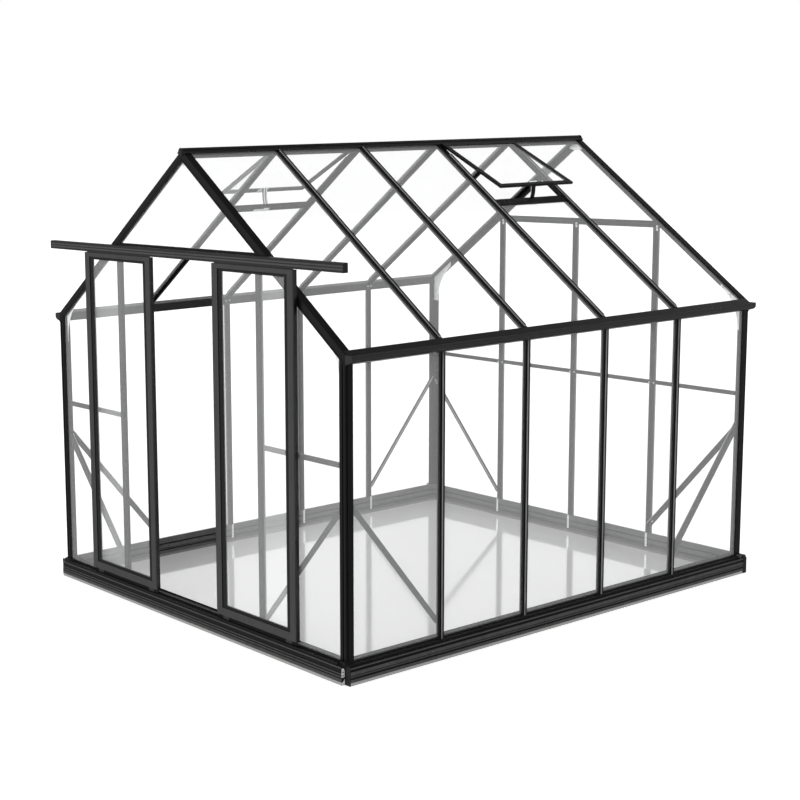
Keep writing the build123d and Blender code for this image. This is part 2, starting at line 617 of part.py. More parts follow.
# ---------------------------------------------------------------- roof vents
y0, y1 = vent_mid - half_bay, vent_mid + half_bay
sill_points = bar_section(sill_mid, VENT_SILL_W, FLANGE_W, VENT_SILL_WEB)
sill = along_y([roof_point(s, -t) for s, t in sill_points], y0, y1)
for bar in roof_bars:
    sill = sill - bar
sill = biggest(sill)

# the flap is drawn shut on the slope, then turned open about its hinge rod
hx, hz = roof_point(hinge_s, hinge_h)
hinge = Axis((hx, 0, hz), (0, 1, 0))
flap_end = hinge_s + VENT_LENGTH
fy0, fy1 = y0 + VENT_PLAY, y1 - VENT_PLAY


def flap_ring(inset, h0, h1):
    """Block over the whole flap, less an inset all round."""
    return slab(hinge_s + inset, flap_end - inset, fy0 + inset, fy1 - inset, h0, h1)


def opened(s):
    return s.rotate(hinge, -VENT_OPEN)


low, high = VENT_LIFT, VENT_LIFT + VENT_FRAME_T
pane_low = VENT_LIFT + VENT_GLASS_UP
pane_edge = VENT_FRAME_W - VENT_REBATE
flap = flap_ring(0, low, high) - flap_ring(VENT_FRAME_W, low - PAST, high + PAST)
flap -= flap_ring(pane_edge, pane_low, pane_low + GLASS_T)
rod = Pos(hx, vent_mid, hz) * Rot(90, 0, 0) * Cylinder(VENT_ROD_R, fy1 - fy0)
vent_frame = opened(flap) + rod - ridge
vent_pane = opened(flap_ring(pane_edge + GLASS_PLAY, pane_low, pane_low + GLASS_T))

# bowed stay between the sill bar and a bracket plate under the flap's lower bar
stay_y = vent_mid + STAY_ASIDE
stay_s = flap_end - STAY_TOP_IN
turn = math.radians(-VENT_OPEN)
tx, tz = roof_point(stay_s, low - STAY_T)
tx, tz = (hx + (tx - hx) * math.cos(turn) + (tz - hz) * math.sin(turn),
          hz - (tx - hx) * math.sin(turn) + (tz - hz) * math.cos(turn))
bx, bz = roof_point(VENT_SILL_S + STAY_T, 0)


def strap(inner, outer):
    """Bowed strip in the XZ plane between the two ends, from inner to outer of its middle line."""
    mid_x, mid_z = (tx + bx) / 2 + STAY_BOW, (tz + bz) / 2
    return make_face([
        ThreePointArc((tx + inner, tz), (mid_x + inner, mid_z), (bx + inner, bz)),
        Line((bx + inner, bz), (bx + outer, bz)),
        ThreePointArc((bx + outer, bz), (mid_x + outer, mid_z), (tx + outer, tz)),
        Line((tx + outer, tz), (tx + inner, tz))])


def in_bay(outline, y0, y1):
    return extrude(Plane((0, y1, 0), x_dir=(1, 0, 0), z_dir=(0, -1, 0)) * outline, amount=y1 - y0)


stay = in_bay(strap(0, STAY_T), stay_y - STAY_W / 2, stay_y + STAY_W / 2)
bracket = opened(slab(stay_s - STAY_T, flap_end - STAY_T, stay_y - STAY_W, stay_y + STAY_W, low - STAY_T, low))
stay = biggest(stay - sill - bracket - vent_frame)
rods = []
for y in (stay_y - STAY_ROD_APART / 2, stay_y + STAY_ROD_APART / 2):
    rod_box = in_bay(strap(-2 * STAY_ROD_R, 0), y - STAY_ROD_R, y + STAY_ROD_R)
    rods.append(biggest(rod_box - sill - bracket - stay))

vent = (sill, vent_frame, vent_pane, stay)
for name, s in zip(("vent_sills", "vent_frames", "vent_glass", "vent_stays"), vent):
    put(name, s, half_turn(s))
hardware = bracket
for s in rods:
    hardware = hardware + s
catch_y0 = vent_mid + CATCH_ASIDE
catch_y1 = catch_y0 + CATCH_W
catch_h = -VENT_SILL_WEB - CATCH_T
catch = slab(sill_mid - CATCH_UP, sill_mid + CATCH_DOWN, catch_y0, catch_y1, catch_h, -VENT_SILL_WEB)
catch += slab(sill_mid - CATCH_TONGUE_UP, sill_mid + CATCH_TONGUE_DOWN, catch_y1, catch_y1 + CATCH_TONGUE_W,
              catch_h, -VENT_SILL_WEB)
put("vent_stay_rods", hardware, half_turn(hardware), catch, half_turn(catch))

# ---------------------------------------------------------------- braces, gussets and cleats
gable_brace = gable_angle((HW - BRACE_EDGE, GABLE_BRACE_TOP), (GABLE_BAY + BRACE_BESIDE, GABLE_BRACE_FOOT),
                          BRACE_W, BRACE_LEG)
side_top, side_foot = (-HL + BRACE_EDGE, SIDE_BRACE_TOP), (BAR_Y[0] - BRACE_BESIDE, SIDE_BRACE_FOOT)
flat, upright = angle_outlines(side_top, side_foot, BRACE_W)
side_brace = along_x(flat, HW - T0 - ANGLE_T, HW - T0)
side_brace += along_x(upright, HW - T0 - BRACE_LEG, HW - T0 - ANGLE_T)
for name, s in (("gable_braces", gable_brace), ("side_braces", side_brace)):
    put(name, s, mirror_x(s), mirror_y(s), mirror_x(mirror_y(s)))

px = HW - POST_GABLE_W - POST_FLANGE                        # inner edge of the post flange
cx = px - GUSSET_LEG
gusset_low = EAVE_UNDER - GUSSET_LEG
bend_x = px - 0.22 * GUSSET_LEG
bend_z = roof_z(bend_x, -RAFTER_W) - 0.36 * GUSSET_LEG
in_x = HW - T0
corner_plate = make_face([
    Line((in_x, gusset_low), (px, gusset_low)),
    ThreePointArc((px, gusset_low), (bend_x, bend_z), (cx, roof_z(cx, -RAFTER_W))),
    Line((cx, roof_z(cx, -RAFTER_W)), (cx, roof_z(cx, -T0))),
    Line((cx, roof_z(cx, -T0)), (in_x, roof_z(in_x, -T0))),
    Line((in_x, roof_z(in_x, -T0)), (in_x, gusset_low))])
gusset = biggest(on_gable(corner_plate, T0, T0 + PLATE_T) - eave_right)
apex_end = (APEX_HALF, roof_z(APEX_HALF, -T0))
apex_plate = make_face([
    Line((0, roof_z(0, -T0)), apex_end),
    ThreePointArc(apex_end, (0, RIDGE_LINE - APEX_DROP), (-APEX_HALF, apex_end[1])),
    Line((-APEX_HALF, apex_end[1]), (0, roof_z(0, -T0)))])
apex = biggest(on_gable(apex_plate, T0, T0 + PLATE_T) - ridge)
put("corner_gussets", gusset, mirror_x(gusset), mirror_y(gusset), mirror_x(mirror_y(gusset)))
put("apex_plates", apex, mirror_y(apex))


def base_cleat(y):
    """Slotted cleat on the inner face of the right base rail, behind the foot of the bar at y."""
    x1 = HW - BASE_IN
    plate = block(x1 - CLEAT_T, x1, y - CLEAT_W / 2, y + CLEAT_W / 2, LIP_Z - CLEAT_H, LIP_Z)
    pitch = CLEAT_H / CLEAT_SLOTS
    for k in range(CLEAT_SLOTS):
        z = LIP_Z - (k + 0.5) * pitch
        plate -= block(x1 - CLEAT_T - PAST, x1 + PAST, y - SLOT_W / 2, y + SLOT_W / 2,
                       z - SLOT_H / 2, z + SLOT_H / 2)
    return plate


def rear_foot_cleat(x):
    """The same cleat on the inner face of the rear base rail."""
    return Pos(x, HL - BASE_IN, 0) * Rot(0, 0, 90) * Pos(BASE_IN - HW, 0, 0) * base_cleat(0)


def post_top_cleat(x):
    """Plain cleat over the joint of a rear post and the tie beam, beside the post's web."""
    y1 = HL - T0
    x0 = x + WEB_W / 2 + 1
    return block(x0, x0 + CLEAT_W, y1 - CLEAT_T, y1, TIE_Z - TOP_CLEAT_H / 2, TIE_Z + TOP_CLEAT_H / 2 - WEB_W)


cleats = [base_cleat(y) for y in BAR_Y]
cleats += [mirror_x(c) for c in cleats]
cleats += [rear_foot_cleat(x) for x in posts]
cleats += [post_top_cleat(x) for x in posts]
put("frame_cleats", *cleats)

# ---------------------------------------------------------------- door rail
rail_points = [(-HL, RAIL_Z), (-HL, RAIL_Z + RAIL_H)]
face_in = RAIL_FRONT + RAIL_RELIEF
rail_points += [(face_in, RAIL_Z + RAIL_H)]
for low, high in reversed(RAIL_RIDGES):
    z0, z1 = RAIL_Z + low * RAIL_H, RAIL_Z + high * RAIL_H
    rail_points += [(face_in, z1), (RAIL_FRONT, z1), (RAIL_FRONT, z0), (face_in, z0)]
rail_points += [(face_in, RAIL_Z)]
hollow = [face_in + RAIL_WALL, -HL - RAIL_WALL, RAIL_Z + RAIL_WALL, RAIL_Z + RAIL_H - RAIL_WALL]
rail = along_x(rail_points, -RAIL_HALF, RAIL_HALF)
inside = RAIL_HALF - RAIL_WALL
rail -= block(-inside, inside, *hollow)
rail -= block(-inside, inside, LEAF_MID - RAIL_SLOT / 2, LEAF_MID + RAIL_SLOT / 2, RAIL_Z - PAST, hollow[2])
put("door_rail", rail)


# ---------------------------------------------------------------- doors
def leaf(x0):
    """One sliding door between x0 and x0 + LEAF_W: frame with hangers and guides, and glass."""
    x1 = x0 + LEAF_W
    in0, in1 = x0 + STILE_W, x1 - STILE_W
    z0, z1 = LEAF_BOTTOM + LEAF_BOTTOM_H, LEAF_TOP - LEAF_TOP_H
    pane_y = LEAF_MID - GLASS_T / 2
    bead_y0, bead_y1 = pane_y - BEAD_T, pane_y + GLASS_T + BEAD_T

    def opening(side, end, y0, y1):
        return block(in0 + side, in1 - side, y0, y1, z0 + end, z1 - end)

    frame = block(x0, x1, LEAF_FRONT, LEAF_BACK, LEAF_BOTTOM, LEAF_TOP)
    side, end = BEAD_SIDE - LEAF_REBATE, BEAD_END - LEAF_REBATE
    frame -= opening(0, 0, LEAF_FRONT - PAST, bead_y0)
    frame -= opening(0, 0, bead_y1, LEAF_BACK + PAST)
    frame -= opening(BEAD_SIDE, BEAD_END, LEAF_FRONT - PAST, LEAF_BACK + PAST)
    frame -= opening(side, end, pane_y, pane_y + GLASS_T)
    for rim in (x0, x1 - STILE_RIM):
        frame -= block(rim, rim + STILE_RIM, LEAF_FRONT - PAST, LEAF_FRONT + RIM_SETBACK,
                       LEAF_BOTTOM - PAST, LEAF_TOP + PAST)
    pane = opening(side + GLASS_PLAY, end + GLASS_PLAY, pane_y, pane_y + GLASS_T)

    # a blade along the top of the leaf rises through the rail's slot and carries the rollers
    lip_top = RAIL_Z + RAIL_WALL
    blade0, blade1 = LEAF_MID - HANGER_T / 2, LEAF_MID + HANGER_T / 2
    frame += block(x0 + HANGER_INSET, x1 - HANGER_INSET, blade0, blade1, LEAF_TOP - PAST, lip_top)
    axle = lip_top + ROLLER_R + ROLLER_PLAY
    for x in (x0 + ROLLER_AT, x1 - ROLLER_AT):
        frame += block(x - HANGER_HALF, x + HANGER_HALF, blade0, blade1, lip_top - PAST, axle + HANGER_RISE)
        frame += Pos(x, LEAF_MID, axle) * Rot(90, 0, 0) * Cylinder(ROLLER_R, HANGER_T + 2 * ROLLER_T)
        frame += block(x - GUIDE_HALF, x + GUIDE_HALF, LEAF_MID - GUIDE_T / 2, LEAF_MID + GUIDE_T / 2,
                       BASE_HEIGHT + GUIDE_LIFT, LEAF_BOTTOM + PAST)
    return frame, pane


right_frame, right_glass = leaf(LEAF_OPEN)
put("door_right_frame", right_frame)
put("door_right_glass", right_glass)
put("door_left_frame", mirror_x(right_frame))
put("door_left_glass", mirror_x(right_glass))
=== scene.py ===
# %% [markdown]
# # A glass greenhouse in black aluminium
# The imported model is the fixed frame: every bar, pane and door leaf already
# stands in its place, at its real size. This lesson gives each of them its
# finish, and adds the small things that a drawing leaves out: door gaskets,
# bolts, screws, rail plugs and the bare cut ends of the door sill.

# %% Load the frame
import json
import math

import bmesh
import bpy
from mathutils import Matrix, Vector


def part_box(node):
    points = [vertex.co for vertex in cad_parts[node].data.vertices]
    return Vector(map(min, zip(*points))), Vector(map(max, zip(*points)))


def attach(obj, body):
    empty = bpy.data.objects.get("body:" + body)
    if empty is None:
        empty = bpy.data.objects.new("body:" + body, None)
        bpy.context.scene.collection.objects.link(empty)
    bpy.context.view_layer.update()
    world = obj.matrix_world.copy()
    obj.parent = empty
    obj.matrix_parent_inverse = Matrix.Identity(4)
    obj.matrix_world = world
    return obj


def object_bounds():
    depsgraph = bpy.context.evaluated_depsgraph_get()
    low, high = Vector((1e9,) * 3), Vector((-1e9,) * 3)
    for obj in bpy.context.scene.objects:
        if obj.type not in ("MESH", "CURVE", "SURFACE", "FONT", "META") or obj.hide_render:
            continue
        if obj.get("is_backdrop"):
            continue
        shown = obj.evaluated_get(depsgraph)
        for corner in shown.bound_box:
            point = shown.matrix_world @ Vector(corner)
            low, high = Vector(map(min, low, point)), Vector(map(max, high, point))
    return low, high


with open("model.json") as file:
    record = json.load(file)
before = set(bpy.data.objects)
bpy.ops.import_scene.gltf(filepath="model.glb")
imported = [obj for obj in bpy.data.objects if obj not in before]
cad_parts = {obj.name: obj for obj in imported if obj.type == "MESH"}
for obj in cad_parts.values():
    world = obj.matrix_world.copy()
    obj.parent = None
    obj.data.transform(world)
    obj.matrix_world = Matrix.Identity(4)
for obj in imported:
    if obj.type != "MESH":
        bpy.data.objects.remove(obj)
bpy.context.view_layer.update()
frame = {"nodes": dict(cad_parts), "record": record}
nodes = frame["nodes"]
scene = bpy.context.scene
MM = 0.001
print("pieces in the frame:", len(nodes))

# %% [markdown]
# ## The camera
# The camera stands well over head height in front of the near corner and looks
# down slightly, past the front of the house. A sideways shift of the lens
# brings the house back to the middle of the view without turning the camera.
# Its axes are built from yaw, pitch and roll, because a small roll is easier
# to read there than in a rotation matrix.

# %% Camera
CAM_PLACE = Vector((6.8330, -6.5896, 2.6857))
CAM_YAW, CAM_PITCH, CAM_ROLL = (math.radians(a) for a in (-55.378, -9.018, -1.424))
CAM_LENS = 71.606
SENSOR_WIDTH = 36.0
CAM_SHIFT = (0.3263, -0.0192)


def camera_axes(yaw, pitch, roll):
    """Right, up and backward axes of a camera that looks along yaw and pitch."""
    level = Vector((math.sin(yaw), math.cos(yaw), 0.0))
    ahead = math.cos(pitch) * level + Vector((0.0, 0.0, math.sin(pitch)))
    right = Vector((level.y, -level.x, 0.0))
    up = right.cross(ahead)
    c, s = math.cos(roll), math.sin(roll)
    return c * right + s * up, c * up - s * right, -ahead


cam_data = bpy.data.cameras.new("camera")
cam_data.lens = CAM_LENS
cam_data.sensor_width = SENSOR_WIDTH
cam_data.shift_x, cam_data.shift_y = CAM_SHIFT
cam = bpy.data.objects.new("camera", cam_data)
turn = Matrix(camera_axes(CAM_YAW, CAM_PITCH, CAM_ROLL)).transposed()
cam.matrix_world = Matrix.Translation(CAM_PLACE) @ turn.to_4x4()
scene.collection.objects.link(cam)
scene.camera = cam
print("camera at", tuple(round(v, 2) for v in CAM_PLACE))

# %% [markdown]
# ## The studio
# Black satin paint has almost no colour of its own, so it is drawn by what it
# mirrors. A white room would turn every face the same grey. Here the room is
# white for the camera and behind the glass, but for mirrored rays it is bright
# in front of the doors, dimmer on the right and above the horizon, and dark
# overhead, as in a hall with lit walls under a black ceiling. So one face of a
# bar shines while the next stays deep black. One soft sun from the front right
# lifts the faces on that side.

# %% World
WHITE = (1, 1, 1, 1)
ROOM_LIGHT = 0.86          # what a matt surface receives from the room
MIRROR_DIM = 0.22          # what a mirrored ray meets on the dark sides
FRONT, RIGHT, UP = (0.10, -0.995, 0.0), (0.90, 0.44, 0.0), (0.0, 0.0, 1.0)
# a direction, where the light starts and is full along it, and what it adds
MIRRORED = (
    (FRONT, (0.28, 0.58), 0.75),
    (RIGHT, (0.10, 0.90), 0.25),
    (UP, (0.0, 0.10), 0.26),
    (UP, (0.35, 0.70), -0.36),
)

scene.view_settings.view_transform = "Standard"
world = bpy.data.worlds.new("studio")
scene.world = world
world.use_nodes = True


def add(tree, kind, operation=None, **settings):
    """Adds a node; a setting named as an input, with _ for a space, sets that input."""
    node = tree.nodes.new(kind)
    if operation:
        node.operation = operation
    for key, value in settings.items():
        label = key.replace("_", " ")
        if label in node.inputs:
            node.inputs[label].default_value = value
        else:
            setattr(node, key, value)
    return node


def feed(tree, socket, value):
    """Links a socket to an input, or sets the input to a plain value."""
    if isinstance(value, bpy.types.NodeSocket):
        tree.links.new(value, socket)
    else:
        socket.default_value = value


def remap(tree, source, low, high, to_low, to_high):
    """Map Range from low..high to to_low..to_high, clamped; gives the output socket."""
    node = add(tree, "ShaderNodeMapRange", From_Min=low, From_Max=high, To_Min=to_low, To_Max=to_high)
    tree.links.new(source, node.inputs["Value"])
    return node.outputs["Result"]


def math_node(tree, operation, a, b):
    """Math node of two sockets or numbers."""
    node = add(tree, "ShaderNodeMath", operation)
    feed(tree, node.inputs[0], a)
    feed(tree, node.inputs[1], b)
    return node.outputs[0]


def blend(tree, factor, a, b):
    """Mix of two values by a factor socket."""
    node = add(tree, "ShaderNodeMix")
    tree.links.new(factor, node.inputs["Factor"])
    feed(tree, node.inputs["A"], a)
    feed(tree, node.inputs["B"], b)
    return node.outputs["Result"]


tree = world.node_tree
direction = add(tree, "ShaderNodeTexCoord").outputs["Generated"]
mirrored = MIRROR_DIM
for side, limits, bright in MIRRORED:
    towards = add(tree, "ShaderNodeVectorMath", "DOT_PRODUCT")
    tree.links.new(direction, towards.inputs[0])
    towards.inputs[1].default_value = side
    part = remap(tree, towards.outputs["Value"], *limits, 0.0, bright)
    mirrored = math_node(tree, "ADD", part, mirrored)
ray = add(tree, "ShaderNodeLightPath").outputs
lit = blend(tree, ray["Is Glossy Ray"], ROOM_LIGHT, mirrored)
seen = math_node(tree, "MAXIMUM", ray["Is Camera Ray"], ray["Is Transmission Ray"])
tree.links.new(blend(tree, seen, lit, 1.0), tree.nodes["Background"].inputs["Strength"])
tree.nodes["Background"].inputs["Color"].default_value = WHITE
print("room light for matt surfaces:", ROOM_LIGHT)

# %% Sun
SUN_STRENGTH = 0.9
SUN_TILT, SUN_SIDE = math.radians(70.0), math.radians(22.0)
SUN_SOFTNESS = math.radians(25.0)

sun = bpy.data.lights.new("sun", "SUN")
sun.energy = SUN_STRENGTH
sun.angle = SUN_SOFTNESS
sun_object = bpy.data.objects.new("sun", sun)
sun_object.rotation_euler = (SUN_TILT, 0.0, SUN_SIDE)
scene.collection.objects.link(sun_object)
print("sun strength:", SUN_STRENGTH)

# %% [markdown]
# ## The floor
# Two sheets that aren't part of the greenhouse. Outside, a white floor keeps
# a soft shadow and melts into the background. Inside the base frame lies a
# pale glossy floor: part of it is matt, part of it mirrors the bars, and the
# mirror image softens with distance because the gloss isn't perfect.

# %% Stage
FLOOR_HALF = 30.0
FLOOR_STEP = 0.5 * MM      # the outer floor lies this far under the ground line, the inner one over it
FLOOR_WHITE = (0.9, 0.9, 0.9, 1)
FLOOR_GLOW = 0.45          # melts the lit floor into the white background
INSIDE_MATT = 0.44
INSIDE_MIRROR = 0.72
INSIDE_ROUGH = 0.07


def floor_sheet(name, low, high, z, mat):
    """Flat sheet that belongs to the stage."""
    size = Vector((high[0] - low[0], high[1] - low[1], 1.0))
    middle = Vector(((high[0] + low[0]) / 2, (high[1] + low[1]) / 2, z))
    matrix = Matrix.Translation(middle) @ Matrix.Diagonal(size.to_4d())
    bm = bmesh.new()
    bmesh.ops.create_grid(bm, x_segments=1, y_segments=1, size=0.5, matrix=matrix)
    mesh = bpy.data.meshes.new(name)
    bm.to_mesh(mesh)
    bm.free()
    mesh.materials.append(mat)
    sheet = bpy.data.objects.new(name, mesh)
    scene.collection.objects.link(sheet)
    sheet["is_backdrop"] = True
    print(name, "is", round(size.x, 2), "by", round(size.y, 2), "m")


def white_floor():
    """Matt white that glows a little for the camera and isn't there for mirrored rays."""
    mat = bpy.data.materials.new("floor_white")
    mat.use_nodes = True
    tree = mat.node_tree
    shader = tree.nodes["Principled BSDF"]
    shader.inputs["Base Color"].default_value = FLOOR_WHITE
    shader.inputs["Roughness"].default_value = 1.0
    shader.inputs["Specular IOR Level"].default_value = 0.0
    shader.inputs["Emission Color"].default_value = WHITE
    ray = add(tree, "ShaderNodeLightPath").outputs
    tree.links.new(math_node(tree, "MULTIPLY", ray["Is Camera Ray"], FLOOR_GLOW),
                   shader.inputs["Emission Strength"])
    tree.links.new(math_node(tree, "SUBTRACT", 1.0, ray["Is Glossy Ray"]), shader.inputs["Alpha"])
    return mat


def glossy_floor():
    """Matt and mirrored light added up."""
    mat = bpy.data.materials.new("floor_inside")
    mat.use_nodes = True
    tree = mat.node_tree
    tree.nodes.remove(tree.nodes["Principled BSDF"])
    matt = add(tree, "ShaderNodeBsdfDiffuse", Color=(INSIDE_MATT,) * 3 + (1,))
    mirror = add(tree, "ShaderNodeBsdfAnisotropic", Color=(INSIDE_MIRROR,) * 3 + (1,),
                 Roughness=INSIDE_ROUGH)
    both = add(tree, "ShaderNodeAddShader")
    tree.links.new(matt.outputs[0], both.inputs[0])
    tree.links.new(mirror.outputs[0], both.inputs[1])
    tree.links.new(both.outputs[0], tree.nodes["Material Output"].inputs["Surface"])
    return mat


inner_low = (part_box("base_left")[1][0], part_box("base_front")[1][1])
inner_high = (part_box("base_right")[0][0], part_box("base_back")[0][1])
floor_sheet("floor", (-FLOOR_HALF,) * 2, (FLOOR_HALF,) * 2, -FLOOR_STEP, white_floor())
floor_sheet("floor_within", inner_low, inner_high, FLOOR_STEP, glossy_floor())

# %% [markdown]
# ## Painted metal
# The bars are extruded aluminium with a baked powder coat. Powder never
# levels out like wet paint: it keeps a fine orange peel, and its gloss and
# tone drift a little along a bar. One function makes that coat. The pattern
# is read from Object coordinates, which here are metres in the frame, so a
# scale of 900 gives grains of about a millimetre.

# %% Powder coat
GRAIN_SCALE = 900.0
DRIFT_SCALE = 6.0
DRIFT_TONES = (0.8, 1.25)  # darkest and lightest paint, as shares of its colour
DRIFT_ROUGH = (-0.04, 0.05)
NOISE_LOW, NOISE_HIGH = 0.3, 0.7                   # where noise has most of its values
PEEL_STRENGTH, PEEL_DEPTH = 0.12, 0.05 * MM
SATIN = 0.30               # roughness of the satin paint


def new_material(name, color, rough, metal=0.0, specular=0.5):
    """Principled material with its uniform values on the shader's own sockets."""
    mat = bpy.data.materials.new(name)
    mat.use_nodes = True
    shader = mat.node_tree.nodes["Principled BSDF"]
    shader.inputs["Base Color"].default_value = (*color, 1)
    shader.inputs["Roughness"].default_value = rough
    shader.inputs["Metallic"].default_value = metal
    shader.inputs["Specular IOR Level"].default_value = specular
    mat.diffuse_color = (*color, 1)
    return mat, mat.node_tree, shader


def noise(tree, scale, detail=3.0, stretch=(1, 1, 1)):
    """Noise on Object coordinates, stretched by a Mapping node."""
    place = add(tree, "ShaderNodeMapping", Scale=stretch)
    tree.links.new(add(tree, "ShaderNodeTexCoord").outputs["Object"], place.inputs["Vector"])
    node = add(tree, "ShaderNodeTexNoise", Scale=scale, Detail=detail)
    tree.links.new(place.outputs["Vector"], node.inputs["Vector"])
    return node.outputs["Fac"]


def tones(tree, factor, dark, light):
    """Colour that drifts with a noise from a dark tone to a light one."""
    ramp = add(tree, "ShaderNodeValToRGB")
    first, last = ramp.color_ramp.elements
    first.position, last.position = NOISE_LOW, NOISE_HIGH
    first.color, last.color = (*dark, 1), (*light, 1)
    tree.links.new(factor, ramp.inputs["Fac"])
    return ramp.outputs["Color"]


def drifting(tree, factor, low, high):
    """Number that drifts with a noise from low to high."""
    return remap(tree, factor, NOISE_LOW, NOISE_HIGH, low, high)


def shades(color, dark, light):
    """A colour made darker and lighter by two shares."""
    return [c * dark for c in color], [c * light for c in color]


def bump(tree, shader, height, strength, distance):
    """Fine relief from a noise."""
    node = add(tree, "ShaderNodeBump", Strength=strength, Distance=distance)
    tree.links.new(height, node.inputs["Height"])
    tree.links.new(node.outputs["Normal"], shader.inputs["Normal"])


def powder_coat(name, color, rough, specular=0.5):
    """Satin powder paint over extruded aluminium."""
    mat, tree, shader = new_material(name, color, rough, specular=specular)
    drift = noise(tree, DRIFT_SCALE, detail=4.0)
    peel = noise(tree, GRAIN_SCALE, detail=2.0)
    tree.links.new(tones(tree, drift, *shades(color, *DRIFT_TONES)), shader.inputs["Base Color"])
    low, high = (rough + change for change in DRIFT_ROUGH)
    tree.links.new(drifting(tree, drift, low, high), shader.inputs["Roughness"])
    bump(tree, shader, peel, PEEL_STRENGTH, PEEL_DEPTH)
    return mat


frame_black = powder_coat("frame_black", (0.003, 0.003, 0.0033), SATIN, 0.15)
trim_black = powder_coat("trim_black", (0.005, 0.005, 0.0053), SATIN, 0.25)
print("painted materials:", frame_black.name, trim_black.name)

# %% [markdown]
# ## Painted highlights and painted shade on the bars
# Long extrusions are never flat: they have ribs and flutes that stiffen them
# and guide the water. Their coat is black all over, so the faces and flanks
# that catch the light get paler bands of painted highlight, and the flutes
# and gaps get deep black bands of painted shade. One function could take a mask for
# each face, but a depth is simpler: how far a point lies in from the outermost
# face is one dot product of its Object coordinates, taken without their signs
# so that left and right match. A colour ramp with hard steps turns that depth
# into bands of tone, so each coat is a short list of depths and tones.

# %% Coat with bands of painted highlight and painted shade
BAND_SPAN = 80.0 * MM      # the depth that the whole ramp covers
BAND_BLUE = 1.03           # the tones are a touch cooler than grey
BAND_BLACK = (0.008, 0.008, 0.0083)                # stands for the bands in a plain view
WEAR_SCALE, WEAR_STRETCH = 25.0, (1, 1, 0.4)
WEAR_DARK = 0.75


def color_mix(tree, factor, a, b, blend_type="MIX"):
    """Mix of two colours by a factor."""
    node = add(tree, "ShaderNodeMix", data_type="RGBA", blend_type=blend_type)
    feed(tree, node.inputs["Factor"], factor)
    feed(tree, node.inputs[6], a)
    feed(tree, node.inputs[7], b)
    return node.outputs[2]


def depth_in(tree, outward, node):
    """Depth in from the outermost face of a node, as a share of the bands' span."""
    outward = Vector(outward).normalized()
    reach = max(outward.dot([abs(c) for c in v.co]) for v in nodes[node].data.vertices)
    place = add(tree, "ShaderNodeVectorMath", "ABSOLUTE")
    tree.links.new(add(tree, "ShaderNodeTexCoord").outputs["Object"], place.inputs[0])
    out = add(tree, "ShaderNodeVectorMath", "DOT_PRODUCT")
    tree.links.new(place.outputs["Vector"], out.inputs[0])
    out.inputs[1].default_value = outward
    return remap(tree, out.outputs["Value"], reach, reach - BAND_SPAN, 0.0, 1.0)


def stepped(tree, depth, bands):
    """Tones that change in hard steps at their depths in millimetres."""
    ramp = add(tree, "ShaderNodeValToRGB")
    ramp.color_ramp.interpolation = "CONSTANT"
    steps = ramp.color_ramp.elements
    while len(steps) < len(bands):
        steps.new(1.0)
    for step, (start, tone) in zip(steps, bands):
        step.position = start * MM / BAND_SPAN
        step.color = (tone, tone, tone * BAND_BLUE, 1)
    tree.links.new(depth, ramp.inputs["Fac"])
    return ramp.outputs["Color"]


def light_and_shade_coat(name, outward, node, bands, specular=0.3):
    """Powder coat with bands of painted highlight and painted shade that change in steps with the depth in
    from the outermost face.
    """
    mat = powder_coat(name, BAND_BLACK, SATIN, specular)
    tree = mat.node_tree
    banded = stepped(tree, depth_in(tree, outward, node), bands)
    wear = tones(tree, noise(tree, WEAR_SCALE, 4.0, WEAR_STRETCH), (WEAR_DARK,) * 3, (1.0,) * 3)
    tree.links.new(color_mix(tree, 1.0, banded, wear, "MULTIPLY"),
                   tree.nodes["Principled BSDF"].inputs["Base Color"])
    print(name, "has", len(bands), "bands")
    return mat


# each band is where it starts, in millimetres in from the outermost face, and its tone; the pale tones are
# painted highlights and the darkest are painted shade
RIB_BANDS = ((0.0, 0.006), (0.6, 0.22), (8.0, 0.002), (12.0, 0.004))
EAVE_BANDS = ((0.0, 0.014), (0.8, 0.001), (3.0, 0.005))
RAIL_BANDS = ((0.0, 0.055), (1.2, 0.003))
LEAF_BANDS = ((0.0, 0.026), (0.8, 0.003))
# the 0.45 bands are a painted highlight on the lit leg of each brace angle
SIDE_BRACE_BANDS = ((0.0, 0.008), (12.0, 0.05), (18.0, 0.45))
GABLE_BRACE_BANDS = ((0.0, 0.008), (18.0, 0.45), (22.5, 0.008), (41.0, 0.45))
ROOF_SLOPE = 0.7577
SIDEWAYS, LENGTHWAYS, OFF_THE_ROOF = (1, 0, 0), (0, 1, 0), (ROOF_SLOPE, 0, 1)
wall_bar_black = light_and_shade_coat("wall_bar_black", SIDEWAYS, "side_bars_right", RIB_BANDS)
roof_bar_black = light_and_shade_coat("roof_bar_black", OFF_THE_ROOF, "roof_bars_right", RIB_BANDS)
eave_black = light_and_shade_coat("eave_black", SIDEWAYS, "eave_right", EAVE_BANDS, 0.40)
rail_black = light_and_shade_coat("rail_black", LENGTHWAYS, "door_rail", RAIL_BANDS, 0.35)
leaf_black = light_and_shade_coat("leaf_black", LENGTHWAYS, "door_right_frame", LEAF_BANDS, 0.45)
side_brace_black = light_and_shade_coat("side_brace_black", SIDEWAYS, "side_braces", SIDE_BRACE_BANDS)
gable_brace_black = light_and_shade_coat("gable_brace_black", LENGTHWAYS, "gable_braces", GABLE_BRACE_BANDS)
